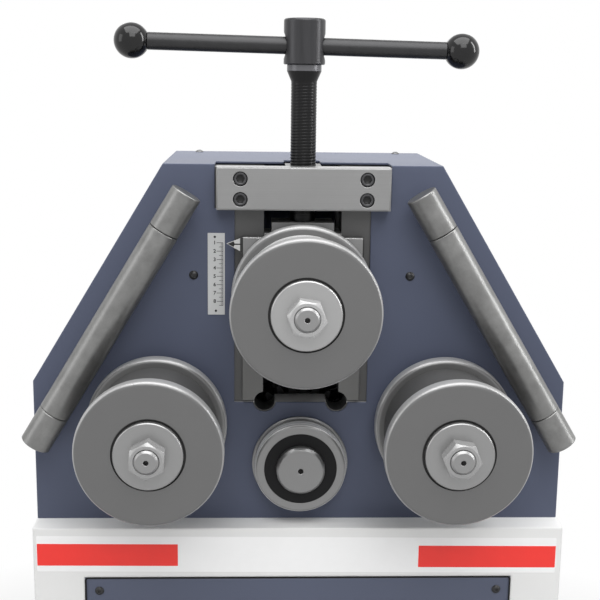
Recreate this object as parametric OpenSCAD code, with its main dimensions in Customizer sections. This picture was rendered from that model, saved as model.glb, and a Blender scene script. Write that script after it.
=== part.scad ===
// Ring roller: a three-roll bending machine on a sheet metal cabinet, in millimetres.
// The head is drawn in its own frame: X to the right, Y up from the cabinet's top,
// Z forward from the head's front face. head() turns that frame into the machine's.

/* [Cabinet] */
// Height of the cabinet's top above the floor
stand_h = 620; // [560:10:700]
// Depth of the cabinet
cab_d = 480; // [440:10:560]
// How far the cabinet stands out in front of the head
cab_ledge = 33; // [20:1:45]
// Thickness of the cabinet's sheet metal
cab_t = 2.5; // [2:0.5:4]
// Border of the cabinet beside the front service panel
panel_side = 61; // [40:1:80]
// Border of the cabinet above the service panel
panel_drop = 63; // [60:1:75]
// Border of the cabinet below the service panel
panel_rise = 77; // [50:1:120]
// Thickness of a foot plate
foot_t = 10; // [6:1:16]
// Side of a foot plate
foot_s = 100; // [80:5:120]
// Diameter of a floor bolt hole
floor_hole_d = 14; // [10:1:18]

/* [Head] */
// Distance from each lower roll to the head's side
roll_side = 149; // [135:1:170]
// Rise of the corner where a side starts to slope, above the lower rolls
corner_rise = 47; // [40:1:60]
// Width of the head's flat top on each side of the crossbar
top_side = 62.5; // [55:0.5:75]
// Room between the gearbox and the rear cover
rear_room = 16.5; // [10:0.5:60]
// Thickness of the head's sheet metal cover
cover_t = 2.5; // [2:0.5:3]
// Width of the window on each side of the slide's flange
window_side = 9; // [6:0.5:14]
// Thickness of the front frame plate
plate_t = 35; // [34:1:40]
// Thickness of the rear frame plate
rear_plate_t = 25; // [22:1:28]
// Gap between the frame plates
plate_gap = 60; // [56:1:64]

/* [Rolls] */
// Height of the upper roll at rest
upper_h = 284; // [282:1:286]
// Diameter of the roll discs
roll_d = 166; // [160:1:168]
// Depth of the middle drum below the discs
drum_sink = 10; // [6:1:16]
// Thickness of a roll disc
disc_t = 20; // [15:0.5:22]
// Length of the middle drum
drum_l = 79; // [70:0.5:90]
// Rounding of a roll disc's rim
rim_r = 5; // [2:0.5:6]
// Gap between the slide's flange and the upper roll
roll_play = 1.7; // [1:0.1:4]
// Diameter of a roll shaft
shaft_d = 40; // [36:1:42]
// Diameter of the thread at a shaft's front end
thread_d = 27; // [24:1:30]
// Diameter of a shaft washer
washer_d = 77; // [70:1:84]
// Thickness of a shaft washer
washer_t = 10; // [8:0.5:12]
// Width of a shaft nut across its flats
nut_af = 38; // [36:1:46]
// Thickness of a shaft nut
nut_t = 17; // [14:1:22]

/* [Slide] */
// Width of the slot in the frame plates
slot_w = 91; // [88:1:94]
// Height of the slot's bottom
slot_h = 148; // [144:1:150]
// Radius of the relief holes at the slot's bottom corners
relief_r = 12.5; // [10:0.5:14]
// Width of the slide's front flange
flange_w = 142; // [134:1:146]
// Rise of the flange's top above the upper roll's centre
flange_rise = 66.5; // [60:0.5:70]
// Drop of the flange's bottom below the upper roll's centre
flange_drop = 66; // [50:1:68]
// Thickness of the slide's front flange
flange_t = 9.5; // [8:0.5:10]
// Width of the boss on top of the slide
boss_w = 73; // [66:1:80]
// Rise of the boss above the upper roll's centre
boss_rise = 83; // [80:1:85]
// Outer diameter of the upper shaft's bearings
upper_bearing_d = 68; // [62:1:72]

/* [Screw and handle] */
// Diameter of the pressure screw
screw_d = 30; // [26:1:31]
// Diameter of the handle's hub
hub_d = 48; // [44:1:56]
// Height of the hub's top above the head
hub_rise = 166; // [150:1:190]
// Height of the hub
hub_h = 52; // [46:1:60]
// Diameter of the neck under the hub
neck_d = 40; // [34:1:42]
// Depth of the tommy bar's hole below the hub's top
bar_drop = 31; // [25:1:34]
// Diameter of the tommy bar
bar_d = 20; // [16:1:22]
// Distance between the centres of the bar's balls
bar_l = 381; // [340:1:420]
// Diameter of the balls
ball_d = 41; // [34:1:46]
// How far the tommy bar has slid to the left
bar_slid = 8; // [0:1:20]
// Lean of the tommy bar in its hole, in degrees
bar_lean = 1.1; // [0:0.1:2]

/* [Crossbar] */
// Width of the crossbar on each side of the slot
cross_side = 55; // [48:1:60]
// Room for the slide to rise below the crossbar
lift_room = 16.1; // [14:0.1:24]
// Height of the crossbar
cross_h = 49.5; // [44:0.5:52]
// Thickness of the crossbar
cross_t = 24; // [20:0.5:28]
// Distance between the crossbar's screws, sideways
cross_screw_x = 146; // [136:1:150]
// Distance between the crossbar's screws, upwards
cross_screw_h = 23.5; // [20:0.5:26]
// Thread diameter of the crossbar's screws
cross_screw_d = 10; // [8:1:10]

/* [Centre roller] */
// Height of the centre roller
centre_h = 73; // [70:1:76]
// Outer diameter of the centre roller
centre_d = 110; // [100:1:114]
// Width of the centre roller
centre_w = 21.5; // [20:0.5:23]
// Wall of the centre roller's ring
ring_wall = 11.5; // [9:0.5:14]
// Width of the black seal
seal_band = 14.5; // [13:0.5:17]
// Rim of the backing disc beyond the centre roller
backing_rim = 3; // [2:0.5:5]

/* [Guide rollers] */
// Diameter of the guide rollers
guide_d = 36.5; // [32:0.5:38]
// Gap between a guide roller and the lower roll's disc
guide_gap = 9.6; // [7:0.1:12]
// How far a guide roller reaches down past the head's corner
guide_low_out = 55; // [45:1:60]
// How far a guide roller stops short of the head's flat top
guide_top_in = 10.7; // [8:0.1:30]
// Height of the guide rollers in front of the head's face
guide_f = 32; // [28:1:38]
// Length of an upper end block
guide_top_l = 51; // [44:1:56]
// Length of a lower end block
guide_low_l = 46; // [40:1:52]

/* [Drive] */
// Gear module
gear_m = 5; // [4.75:0.25:5.5]
// Teeth of a lower roll's gear
gear_teeth = 44; // [44:1:44]
// Teeth of the drive pinion
pinion_teeth = 26; // [26:1:26]
// Drop from the lower rolls to the pinion
pinion_drop = 37.2; // [30:0.1:45]
// Gap below the gears
gear_floor = 12; // [6:1:20]
// Face width of the gears
gear_face = 40; // [34:1:44]
// Width of the gearbox
gearbox_w = 150; // [130:2:170]
// Diameter of the motor
motor_d = 176; // [150:2:186]
// Length of the motor
motor_l = 260; // [220:5:300]

/* [Hidden] */
$fn = 96;

// Clearances and one overrun for every cut
over = 2;
slide_gap = 0.3;
run_gap = 0.05;
part_gap = 0.6;

// Colours
blue_paint = [0.27, 0.30, 0.40];
white_paint = [0.86, 0.86, 0.85];
steel = [0.52, 0.52, 0.51];
bright_steel = [0.68, 0.68, 0.67];
dark_steel = [0.30, 0.30, 0.30];
black_finish = [0.08, 0.08, 0.08];
bronze = [0.62, 0.47, 0.24];

// The gears set the rolls' places, and the pieces on the slide set the head's size
centre_gap = (gear_teeth + pinion_teeth) * gear_m / 2;
roll_x = sqrt(centre_gap * centre_gap - pinion_drop * pinion_drop);
lower_h = gear_m * (gear_teeth + 2) / 2 + gear_floor;
pinion_h = lower_h - pinion_drop;
body_w = 2 * (roll_x + roll_side);
corner_h = lower_h + corner_rise;
cross_w = slot_w + 2 * cross_side;
top_w = cross_w + 2 * top_side;
boss_top = upper_h + boss_rise;
cross_low = boss_top + lift_room;
cross_top = cross_low + cross_h;
cross_drop = 1.4;
head_h = cross_top + cross_drop;
hub_top = head_h + hub_rise;
bar_h = hub_top - bar_drop;
window_w = flange_w + 2 * window_side;
drum_d = roll_d - 2 * drum_sink;
panel_w = body_w - 2 * panel_side;
panel_h = stand_h - foot_t - panel_drop - panel_rise;
seal_d = centre_d - 2 * ring_wall;
axle_d = seal_d - 2 * seal_band;
backing_d = centre_d + 2 * backing_rim;

// Places along the depth, forward of the head's face
plate_f = -cover_t;
flange_f = 3.8;
strip_gap = 0.3;
plate_back_f = plate_f - plate_t;
rear_plate_f = plate_back_f - plate_gap;
rear_back_f = rear_plate_f - rear_plate_t;
screw_f = plate_f - plate_t / 2;
back_disc_f = flange_f + flange_t + roll_play;
drum_f = back_disc_f + disc_t;
front_disc_f = drum_f + drum_l;
roll_face_f = front_disc_f + disc_t;
washer_sink = 4.5;
washer_f = roll_face_f - washer_sink;
nut_f = washer_f + washer_t;
shaft_out = 3;
front_reach = nut_f + nut_t + shaft_out;
// The machine stands with the middle of its whole depth over the origin
face_y = (front_reach - (cab_d - cab_ledge)) / 2;

// Depth of the gearbox and of the whole head
gearbox_t = 80;
gearbox_gap = 0.5;
gearbox_front_f = rear_back_f - gearbox_gap;
gearbox_back_f = gearbox_front_f - gearbox_t;
gearbox_f = gearbox_front_f - gearbox_t / 2;
head_d = rear_room + cover_t - gearbox_back_f;

// Roll shafts
lower_seat_d = 60;
gear_seat_d = 48;
rear_seat_d = 40;
rear_thread_d = 36;
locknut_d = 58;
locknut_t = 12;
shaft_rear_f = rear_back_f - locknut_t - over;
lower_bearing_d = 110;
lower_bearing_w = 28;
rear_bearing_d = 80;
bearing_lip = 5;
lip_ring = 8;
key_w = 12;
key_h = 8;
thread_chamfer = 1.5;
end_chamfer = 2.4;
centre_hole_d = 6;
centre_hole_l = 8;

// Gears
pressure_angle = 20;
gear_play = 0.3;
gear_f = plate_back_f - (plate_gap + gear_face) / 2;
pinion_shaft_d = 35;
pinion_nose_d = 30;
pocket_l = 12;

head_edge = [[-body_w / 2, 0], [body_w / 2, 0], [body_w / 2, corner_h], [top_w / 2, head_h],
             [-top_w / 2, head_h], [-body_w / 2, corner_h]];
slope_angle = atan2(head_h - corner_h, (body_w - top_w) / 2);
slope_l = (head_h - corner_h) / sin(slope_angle);
// A point in the front view on side s, t up along the sloping edge and d in from it
function edge_point(s, t, d) = [s * (body_w / 2 - t * cos(slope_angle) - d * sin(slope_angle)),
    corner_h + t * sin(slope_angle) - d * cos(slope_angle)];

// Frame of the head: X right, Y up from the cabinet's top, Z forward of the front face
module head() translate([0, face_y, stand_h]) rotate([90, 0, 0]) children();
// A flat shape drawn in the front view, from depth f0 over a thickness t
module slab(f0, t) translate([0, 0, f0]) linear_extrude(t) children();
// A turned piece on a forward axis, its profile given as radius and depth
module turned(x, h) translate([x, h, 0]) rotate_extrude() children();
// A piece that stands upright on its own Z axis in the head's frame
module upright(x, h, f) translate([x, h, f]) rotate([-90, 0, 0]) children();
module both_sides() {
    children();
    mirror([1, 0, 0]) children();
}
module round_hole(x, h, r, f0, l) translate([x, h, f0]) cylinder(r = r, h = l);

function unit(v) = v / norm(v);
function left_normal(a, b) = let (d = unit(b - a)) [-d[1], d[0]];
// A convex outline, counted anticlockwise, moved inwards by d
function inset(p, d) = [for (i = [0:len(p) - 1])
    let (a = p[(i + len(p) - 1) % len(p)], b = p[i], c = p[(i + 1) % len(p)],
         m = left_normal(a, b), n = left_normal(b, c))
    b + d * (m + n) / (1 + m * n)];
// An arc of steps + 1 points
function arc(x, y, r, a0, a1, steps) =
    [for (i = [0:steps]) let (a = a0 + (a1 - a0) * i / steps) [x + r * cos(a), y + r * sin(a)]];
// Profile of a disc with rounded rims: bore radius, rim radius, depth, thickness, rounding
function rim_profile(b, r, f, t, c) = concat([[b, f]], arc(r - c, f + c, c, -90, 0, 6),
    arc(r - c, f + t - c, c, 0, 90, 6), [[b, f + t]]);

// Cabinet
cab_low = foot_t - stand_h;
panel_t = 2.5;
panel_lip = 24;
panel_frame = 14;
vent_t = 2;
vent_lip = 18;
panel_low = -panel_drop - panel_h;
floor_x = body_w - foot_s;
floor_d = cab_d - foot_s;
cab_mid_f = cab_ledge - cab_d / 2;
vent_w = 400;
vent_h = 260;
vent_drop = 90;
vent_rows = 9;
vent_slot_w = 120;
vent_slot_h = 8;
vent_pitch = 22;
motor_neck_d = 78;
deck_hole_side = 46;
deck_hole_end = 16;
deck_hole_w = motor_neck_d + 2 * deck_hole_side;
deck_hole_d = motor_neck_d + 2 * deck_hole_end;

module cabinet_shell() color(white_paint) head() difference() {
    union() {
        difference() {
            translate([-body_w / 2, cab_low, cab_ledge - cab_d]) cube([body_w, -cab_low, cab_d]);
            translate([-body_w / 2 + cab_t, cab_low + cab_t, cab_ledge - cab_d + cab_t])
                cube([body_w - 2 * cab_t, -cab_low - 2 * cab_t, cab_d - 2 * cab_t]);
        }
        // Frame behind the service panel
        translate([-panel_w / 2 - panel_frame, panel_low - panel_frame, cab_ledge - 2 * cab_t])
            cube([panel_w + 2 * panel_frame, panel_h + 2 * panel_frame, cab_t + cab_t / 2]);
    }
    // Seat and opening of the service panel
    translate([-panel_w / 2 - part_gap, panel_low - part_gap, cab_ledge - panel_t])
        cube([panel_w + 2 * part_gap, panel_h + 2 * part_gap, panel_t + over]);
    translate([-panel_w / 2 + panel_lip, panel_low + panel_lip, cab_ledge - 2 * cab_t - over])
        cube([panel_w - 2 * panel_lip, panel_h - 2 * panel_lip, 2 * cab_t + 2 * over]);
    // Opening behind the vent panel
    translate([-vent_w / 2 + vent_lip, -vent_drop - vent_h + vent_lip, cab_ledge - cab_d - over])
        cube([vent_w - 2 * vent_lip, vent_h - 2 * vent_lip, cab_t + 2 * over]);
    // Way for the gearbox through the deck
    translate([-deck_hole_w / 2, -cab_t - over, gearbox_f - deck_hole_d / 2])
        cube([deck_hole_w, cab_t + 2 * over, deck_hole_d]);
    // Floor bolt holes
    for (x = [-1, 1], d = [-1, 1])
        upright(x * floor_x / 2, cab_low - over, cab_mid_f + d * floor_d / 2)
            cylinder(d = floor_hole_d, h = cab_t + 2 * over);
    for (p = panel_screw_places)
        round_hole(p[0], p[1], button_shank_d / 2 + run_gap, cab_ledge - 2 * cab_t - over,
                   2 * cab_t + 2 * over);
}

module base_feet() color(black_finish) head() for (x = [-1, 1], d = [-1, 1])
    difference() {
        translate([x * floor_x / 2 - foot_s / 2, -stand_h, cab_mid_f + d * floor_d / 2 - foot_s / 2])
            cube([foot_s, foot_t, foot_s]);
        upright(x * floor_x / 2, -stand_h - over, cab_mid_f + d * floor_d / 2)
            cylinder(d = floor_hole_d, h = foot_t + 2 * over);
    }

panel_screw_inset = 17;
panel_screw_places = [for (x = [-1, 1], y = [0, 1])
    [x * (panel_w / 2 - panel_screw_inset), -panel_drop - panel_screw_inset
     - y * (panel_h - 2 * panel_screw_inset)]];

module service_panel() color(blue_paint) head() difference() {
    translate([-panel_w / 2, panel_low, cab_ledge - panel_t]) cube([panel_w, panel_h, panel_t]);
    for (p = panel_screw_places)
        round_hole(p[0], p[1], button_shank_d / 2 + run_gap, cab_ledge - panel_t - over, panel_t + 2 * over);
}

module vent_panel() color(blue_paint) head() difference() {
    translate([-vent_w / 2, -vent_drop - vent_h, cab_ledge - cab_d + cab_t])
        cube([vent_w, vent_h, vent_t]);
    for (x = [-1, 1], i = [0:vent_rows - 1])
        translate([x * vent_slot_w * 0.6 - vent_slot_w / 2,
                   -vent_drop - vent_pitch * (i + 1) - vent_slot_h, cab_ledge - cab_d + cab_t - over])
            cube([vent_slot_w, vent_slot_h, vent_t + 2 * over]);
}

// Cover of the head
notch_side = 2.6;
notch_play = 4.5;
notch_back = cover_t + plate_t + notch_play;
screw_notch_play = 1;
screw_notch_l = 28;
tongue_w = 42;
screw_notch_w = tongue_w + 2 * screw_notch_play;
screw_notch_back = notch_back + screw_notch_l;
collar_d = 56;
collar_play = 8;
shaft_hole_r = collar_d / 2 + collar_play;
cover_hole_side = 48;
cover_hole_drop = 79.6;
cover_hole_places = [for (s = [-1, 1])
    [s * (window_w / 2 + cover_hole_side), cross_low - cover_hole_drop]];
top_screw_side = 32;
top_screw_x = top_w / 2 - top_screw_side;
top_screw_end = 17;
top_screw_back = head_d - top_screw_end;
button_d = 11;
button_h = 3.3;
button_shank_d = 6;
button_shank_l = 14;
button_hex = 4;

// Shape of the slot, its relief holes and the window above them
module slot_shape(w, low, r) {
    translate([-w / 2, low]) square([w, head_h - low + over]);
    for (s = [-1, 1]) translate([s * (w / 2 - slot_corner), low + slot_corner]) circle(r = r);
}
slot_corner = 2;

module cover_inside() polygon(concat(
    [[-body_w / 2 + cover_t, -over], [body_w / 2 - cover_t, -over]],
    [for (i = [2:5]) inset(head_edge, cover_t)[i]]));

module head_cover() color(blue_paint) head() difference() {
    slab(-head_d, head_d) polygon(head_edge);
    slab(-head_d - over, head_d + over - cover_t) cover_inside();
    slab(-cover_t - over, cover_t + 2 * over) {
        translate([-window_w / 2, slot_h]) square([window_w, cross_low - slot_h]);
        slot_shape(slot_w, slot_h, relief_r + relief_rim);
        for (p = cover_hole_places) translate(p) circle(d = button_shank_d + 2 * run_gap);
        for (s = [-1, 1]) {
            translate([s * roll_x, lower_h]) circle(r = shaft_hole_r);
            for (t = guide_post_along) translate(guide_point(s, t)) circle(d = stud_d + 2 * run_gap);
        }
        translate([0, centre_h]) circle(d = spigot_d + 2 * run_gap);
    }
    // Notch for the crossbar and the wider one round the screw
    translate([-cross_w / 2 - notch_side, cross_low - part_gap, -notch_back])
        cube([cross_w + 2 * notch_side, cross_h + over + part_gap + cross_drop, notch_back + over]);
    translate([-screw_notch_w / 2, cross_low, -screw_notch_back])
        cube([screw_notch_w, cross_h + over + cross_drop, screw_notch_back + over]);
    for (s = [-1, 1]) upright(s * top_screw_x, head_h - cover_t - over, -top_screw_back)
        cylinder(d = button_shank_d + 2 * run_gap, h = cover_t + 2 * over);
}
relief_rim = 1.5;

rear_lip = 34;
module rear_cover() color(blue_paint) head() difference() {
    slab(-head_d, rear_lip) polygon(concat(
        [[-body_w / 2 + cover_t, 0], [body_w / 2 - cover_t, 0]],
        [for (i = [2:5]) inset(head_edge, cover_t)[i]]));
    slab(-head_d + cover_t, rear_lip) polygon(concat(
        [[-body_w / 2 + 2 * cover_t, -over], [body_w / 2 - 2 * cover_t, -over]],
        [for (i = [2:5]) inset(head_edge, 2 * cover_t)[i]]));
    for (p = post_places)
        round_hole(p[0], p[1], button_shank_d / 2 + run_gap, -head_d - over, cover_t + 2 * over);
    for (s = [-1, 1]) upright(s * top_screw_x, head_h - 2 * cover_t - over, -top_screw_back)
        cylinder(d = button_shank_d + 2 * run_gap, h = cover_t + 2 * over);
}

// A button head screw whose head rests at Z = 0 and points up Z
module button_screw() difference() {
    union() {
        rotate_extrude() polygon(concat([[0, 0]], arc(0, -button_d * 0.3, button_d * 0.583, 31, 72, 5),
            [[0, button_h]]));
        translate([0, 0, -button_shank_l]) cylinder(d = button_shank_d, h = button_shank_l + over / 2);
    }
    translate([0, 0, button_h / 3]) cylinder(d = button_hex / cos(30), h = button_h, $fn = 6);
}

module cover_screws() color(black_finish) head() {
    for (p = cover_hole_places) translate([p[0], p[1], 0]) button_screw();
    for (p = panel_screw_places) translate([p[0], p[1], cab_ledge]) button_screw();
    for (p = post_places) translate([p[0], p[1], -head_d]) mirror([0, 0, 1]) button_screw();
    for (s = [-1, 1]) upright(s * top_screw_x, head_h, -top_screw_back) button_screw();
}

// Frame plates
frame_play = 1;
plate_edge = inset(head_edge, cover_t + frame_play);
spacer_d = 34;
tie_d = 16;
tie_head_d = 24;
tie_head_h = 10;
tie_inset = 26;
tie_edge = 33;
tie_along_share = 0.5;
tie_top_side = 72.5;
tie_top_drop = 38;
post_places = [for (s = [-1, 1], p = [[body_w / 2 - tie_inset, tie_inset],
    [slot_w / 2 + tie_top_side, cross_low - tie_top_drop]]) [s * p[0], p[1]]];
tie_places = concat(post_places,
    [for (s = [-1, 1]) edge_point(s, slope_l * tie_along_share, tie_edge)]);

module plate_outline() polygon(concat(
    [[-body_w / 2 + cover_t + frame_play, 0], [body_w / 2 - cover_t - frame_play, 0]],
    [for (i = [2:5]) plate_edge[i]]));

module front_plate() color(steel) head() difference() {
    slab(plate_back_f, plate_t) difference() {
        plate_outline();
        slot_shape(slot_w, slot_h, relief_r);
        for (p = tie_places) translate(p) circle(d = tie_d + 2 * run_gap);
        for (s = [-1, 1]) translate([s * roll_x, lower_h]) circle(d = lower_seat_d + lip_ring);
    }
    for (s = [-1, 1]) {
        round_hole(s * roll_x, lower_h, lower_bearing_d / 2 + run_gap, plate_back_f - over,
                   plate_t - bearing_lip + over);
        for (t = guide_post_along) let (p = guide_point(s, t))
            round_hole(p[0], p[1], stud_d / 2 + run_gap, plate_f - stud_l, stud_l + over);
        for (u = [-1, 1]) round_hole(s * cross_screw_x / 2, cross_mid + u * cross_screw_h / 2,
            cross_screw_d / 2 + run_gap, plate_f - cross_shank_l, cross_shank_l + over);
    }
    for (p = cover_hole_places)
        round_hole(p[0], p[1], button_shank_d / 2 + run_gap, -button_shank_l, button_shank_l + over);
    round_hole(0, centre_h, spigot_d / 2 + run_gap, plate_f - spigot_l, spigot_l + over);
    round_hole(0, pinion_h, pinion_nose_d / 2 + run_gap, plate_back_f - over, pocket_l + over);
}

module rear_plate() color(steel) head() slab(rear_back_f, rear_plate_t) difference() {
    plate_outline();
    slot_shape(slot_w, slot_h, relief_r);
    for (p = tie_places) translate(p) circle(d = tie_d + 2 * run_gap);
    for (s = [-1, 1]) translate([s * roll_x, lower_h]) circle(d = rear_bearing_d + 2 * run_gap);
    translate([0, pinion_h]) circle(d = pinion_shaft_d + 2 * run_gap);
}

module spacers() color(dark_steel) head() slab(rear_plate_f, plate_gap)
    for (p = tie_places) translate(p) difference() {
        circle(d = spacer_d);
        circle(d = tie_d + 2 * run_gap);
    }

module tie_bolts() color(black_finish) head() {
    for (p = tie_places) translate([p[0], p[1], 0]) {
        translate([0, 0, rear_back_f]) cylinder(d = tie_d, h = plate_f - rear_back_f);
        translate([0, 0, rear_back_f - tie_head_h])
            cylinder(d = tie_head_d / cos(30), h = tie_head_h, $fn = 6);
    }
    // Posts that carry the rear cover
    for (p = post_places) difference() {
        round_hole(p[0], p[1], tie_d / 2, cover_t - head_d, head_d - cover_t + rear_back_f);
        round_hole(p[0], p[1], button_shank_d / 2 + run_gap, -head_d, button_shank_l + over);
    }
}

// Crossbar that closes the slot and holds the screw's nut
cross_screw_rise = -0.6;
cross_mid = cross_low + cross_h / 2 + cross_screw_rise;
nut_wall = 3.5;
nut_bush_d = screw_d + 2 * nut_wall;
nut_lip = 5;
tongue_wall = 3;
tongue_l = plate_t / 2 + nut_bush_d / 2 + tongue_wall;
tongue_step = 12;
cross_chamfer = 1.2;
head_hole_d = 17;
head_sink = 11;
socket_head_d = 16;
socket_hex = 8;
cross_shank_l = 24;

module crossbar() color(bright_steel) head() difference() {
    union() {
        translate([-cross_w / 2, cross_low, plate_f]) cube([cross_w, cross_h, cross_t - cross_chamfer]);
        translate([-cross_w / 2 + cross_chamfer, cross_low + cross_chamfer, plate_f])
            cube([cross_w - 2 * cross_chamfer, cross_h - 2 * cross_chamfer, cross_t]);
        translate([-tongue_w / 2, cross_low, plate_f - tongue_l])
            cube([tongue_w, cross_h, tongue_l + over]);
        translate([-slot_w / 2 + slide_gap, cross_low, plate_back_f])
            cube([slot_w - 2 * slide_gap, cross_h - tongue_step, plate_t + over]);
    }
    for (s = [-1, 1], u = [-1, 1]) {
        round_hole(s * cross_screw_x / 2, cross_mid + u * cross_screw_h / 2,
                   cross_screw_d / 2 + run_gap, plate_f - over, cross_t + 2 * over);
        round_hole(s * cross_screw_x / 2, cross_mid + u * cross_screw_h / 2,
                   head_hole_d / 2, plate_f + cross_t - head_sink, head_sink + over);
    }
    upright(0, cross_low - over, screw_f) cylinder(d = nut_bush_d, h = cross_h - nut_lip + over);
    upright(0, cross_low - over, screw_f) cylinder(d = screw_d + 2 * part_gap, h = cross_h + 2 * over);
}

module crossbar_screws() color(black_finish) head() for (s = [-1, 1], u = [-1, 1])
    translate([s * cross_screw_x / 2, cross_mid + u * cross_screw_h / 2, plate_f + cross_t - head_sink])
        difference() {
            union() {
                cylinder(d = socket_head_d, h = cross_screw_d);
                translate([0, 0, head_sink - cross_t - cross_shank_l])
                    cylinder(d = cross_screw_d, h = cross_t - head_sink + cross_shank_l + over / 2);
            }
            translate([0, 0, cross_screw_d / 2])
                cylinder(d = socket_hex / cos(30), h = cross_screw_d, $fn = 6);
        }

module screw_nut() color(bronze) head() upright(0, cross_low, screw_f) difference() {
    cylinder(d = nut_bush_d - 2 * run_gap, h = cross_h - nut_lip);
    translate([0, 0, -over]) cylinder(d = screw_d + 2 * run_gap, h = cross_h + 2 * over);
}

// Strips that keep the slide in its slot
strip_side = 1;
strip_w = (flange_w - slot_w) / 2 - strip_side;
strip_rise = 4;
strip_reach = 50;
strip_top = upper_h + strip_reach;
module guide_strips() color(steel) head() both_sides() difference() {
    translate([slot_w / 2, slot_h + strip_rise, plate_f])
        cube([strip_w, strip_top - slot_h - strip_rise, flange_f - strip_gap - plate_f]);
    round_hole(slot_w / 2 - slot_corner, slot_h + slot_corner, relief_r, plate_f - over, flange_f - plate_f + over);
}

// Blank scale plate beside the pointer
pointer_reach = 18;
pointer_gap = 2.3;
scale_w = 20;
scale_l = 97.5;
scale_t = 0.8;
scale_x = -flange_w / 2 - pointer_reach - pointer_gap - scale_w;
scale_rise = 69.7;
scale_top = upper_h + scale_rise;
module scale_plate() color(white_paint) head()
    translate([scale_x, scale_top - scale_l, 0]) cube([scale_w, scale_l, scale_t]);

// A ball bearing drawn as its rings, with a groove where the shield sits
shield_sink = 1;
module bearing(x, h, f, bore_d, outer_d, w) {
    ring = (outer_d - bore_d) / 8;
    turned(x, h) polygon([[bore_d / 2, f], [bore_d / 2 + ring, f], [bore_d / 2 + ring, f + shield_sink],
        [outer_d / 2 - ring, f + shield_sink], [outer_d / 2 - ring, f], [outer_d / 2, f],
        [outer_d / 2, f + w], [outer_d / 2 - ring, f + w], [outer_d / 2 - ring, f + w - shield_sink],
        [bore_d / 2 + ring, f + w - shield_sink], [bore_d / 2 + ring, f + w], [bore_d / 2, f + w]]);
}

module lower_bearings() color(bright_steel) head() for (s = [-1, 1]) {
    bearing(s * roll_x, lower_h, plate_f - bearing_lip - lower_bearing_w,
            lower_seat_d + 2 * run_gap, lower_bearing_d, lower_bearing_w);
    bearing(s * roll_x, lower_h, rear_back_f, rear_seat_d + 2 * run_gap, rear_bearing_d, rear_plate_t);
}

// Slanted guide rollers on the head's two sides
guide_start = -guide_low_out;
guide_inset = roll_side * sin(slope_angle) + corner_rise * cos(slope_angle)
    - roll_d / 2 - guide_d / 2 - guide_gap;
guide_end_gap = 0.5;
guide_l = slope_l - guide_top_in - guide_top_l - guide_low_l + guide_low_out - 2 * guide_end_gap;
post_d = 20;
stud_d = 10;
stud_l = 24;
guide_axle_d = 16;
guide_axle_in = 20;
guide_chamfer = 1;
guide_sleeve_at = guide_start + guide_low_l;
guide_top_at = guide_sleeve_at + guide_l + 2 * guide_end_gap;
guide_post_along = [guide_start + guide_low_l / 2, guide_top_at + guide_top_l / 2];
// A point of a guide roller's axis in the front view, on side s, t along the sloping edge
function guide_point(s, t) = edge_point(s, t, guide_inset);
// A piece along a guide roller's axis, which is its own Z axis
module along_guide(s, t) translate([guide_point(s, t)[0], guide_point(s, t)[1], guide_f])
    rotate([0, 0, s > 0 ? 180 - slope_angle : slope_angle]) rotate([0, 90, 0]) children();
module chamfered_rod(d, l, c) rotate_extrude()
    polygon([[0, 0], [d / 2 - c, 0], [d / 2, c], [d / 2, l - c], [d / 2 - c, l], [0, l]]);

module guide_end_blocks() color(steel) head() for (s = [-1, 1]) {
    difference() {
        along_guide(s, guide_start) chamfered_rod(guide_d, guide_low_l, guide_chamfer);
        along_guide(s, guide_sleeve_at - guide_axle_in)
            cylinder(d = guide_axle_d + 2 * run_gap, h = guide_axle_in + over);
    }
    difference() {
        along_guide(s, guide_top_at) chamfered_rod(guide_d, guide_top_l, guide_chamfer);
        along_guide(s, guide_top_at - over)
            cylinder(d = guide_axle_d + 2 * run_gap, h = guide_axle_in + over);
    }
    for (t = guide_post_along) let (p = guide_point(s, t)) translate([p[0], p[1], 0]) {
        cylinder(d = post_d, h = guide_f - guide_axle_d);
        translate([0, 0, plate_f - stud_l + over]) cylinder(d = stud_d, h = stud_l + over);
    }
}

module guide_axles() color(bright_steel) head() for (s = [-1, 1])
    along_guide(s, guide_sleeve_at - guide_axle_in + over)
        cylinder(d = guide_axle_d, h = guide_l + 2 * guide_axle_in + 2 * guide_end_gap - 2 * over);

module guide_sleeve(s) color(steel) head() along_guide(s, guide_sleeve_at + guide_end_gap)
    difference() {
        chamfered_rod(guide_d, guide_l, guide_chamfer / 2);
        translate([0, 0, -over]) cylinder(d = guide_axle_d + 2 * run_gap, h = guide_l + 2 * over);
    }
module left_sleeve() guide_sleeve(-1);
module right_sleeve() guide_sleeve(1);

// Centre roller: a sealed bearing on a fixed stub axle
backing_t = 4.9;
centre_f = backing_t + 0.6;
spigot_d = 34;
spigot_l = 18;
boss_out = 9;
boss_chamfer = 3;
axle_hole_d = 6.5;
race_pin_d = 11;
race_pin_l = 12;
race_pin_count = 10;
race_sink = 0.2;
race_r = seal_d / 2 + race_sink - race_pin_d / 2;
seal_t = 2;
seal_sink = 0.6;
centre_mid_f = centre_f + centre_w / 2;
centre_round = 4.5;

module centre_axle() color(steel) head() turned(0, centre_h) polygon([
    [0, plate_f - spigot_l + over], [spigot_d / 2, plate_f - spigot_l + over], [spigot_d / 2, 0],
    [backing_d / 2 - boss_chamfer / 2, 0], [backing_d / 2, boss_chamfer / 2],
    [backing_d / 2, backing_t], [axle_d / 2, backing_t],
    [axle_d / 2, centre_f + centre_w + boss_out - boss_chamfer],
    [axle_d / 2 - boss_chamfer, centre_f + centre_w + boss_out],
    [axle_hole_d / 2, centre_f + centre_w + boss_out],
    [axle_hole_d / 2, centre_f + centre_w + boss_out - centre_hole_l],
    [0, centre_f + centre_w + boss_out - centre_hole_l - axle_hole_d / 2]]);

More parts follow.
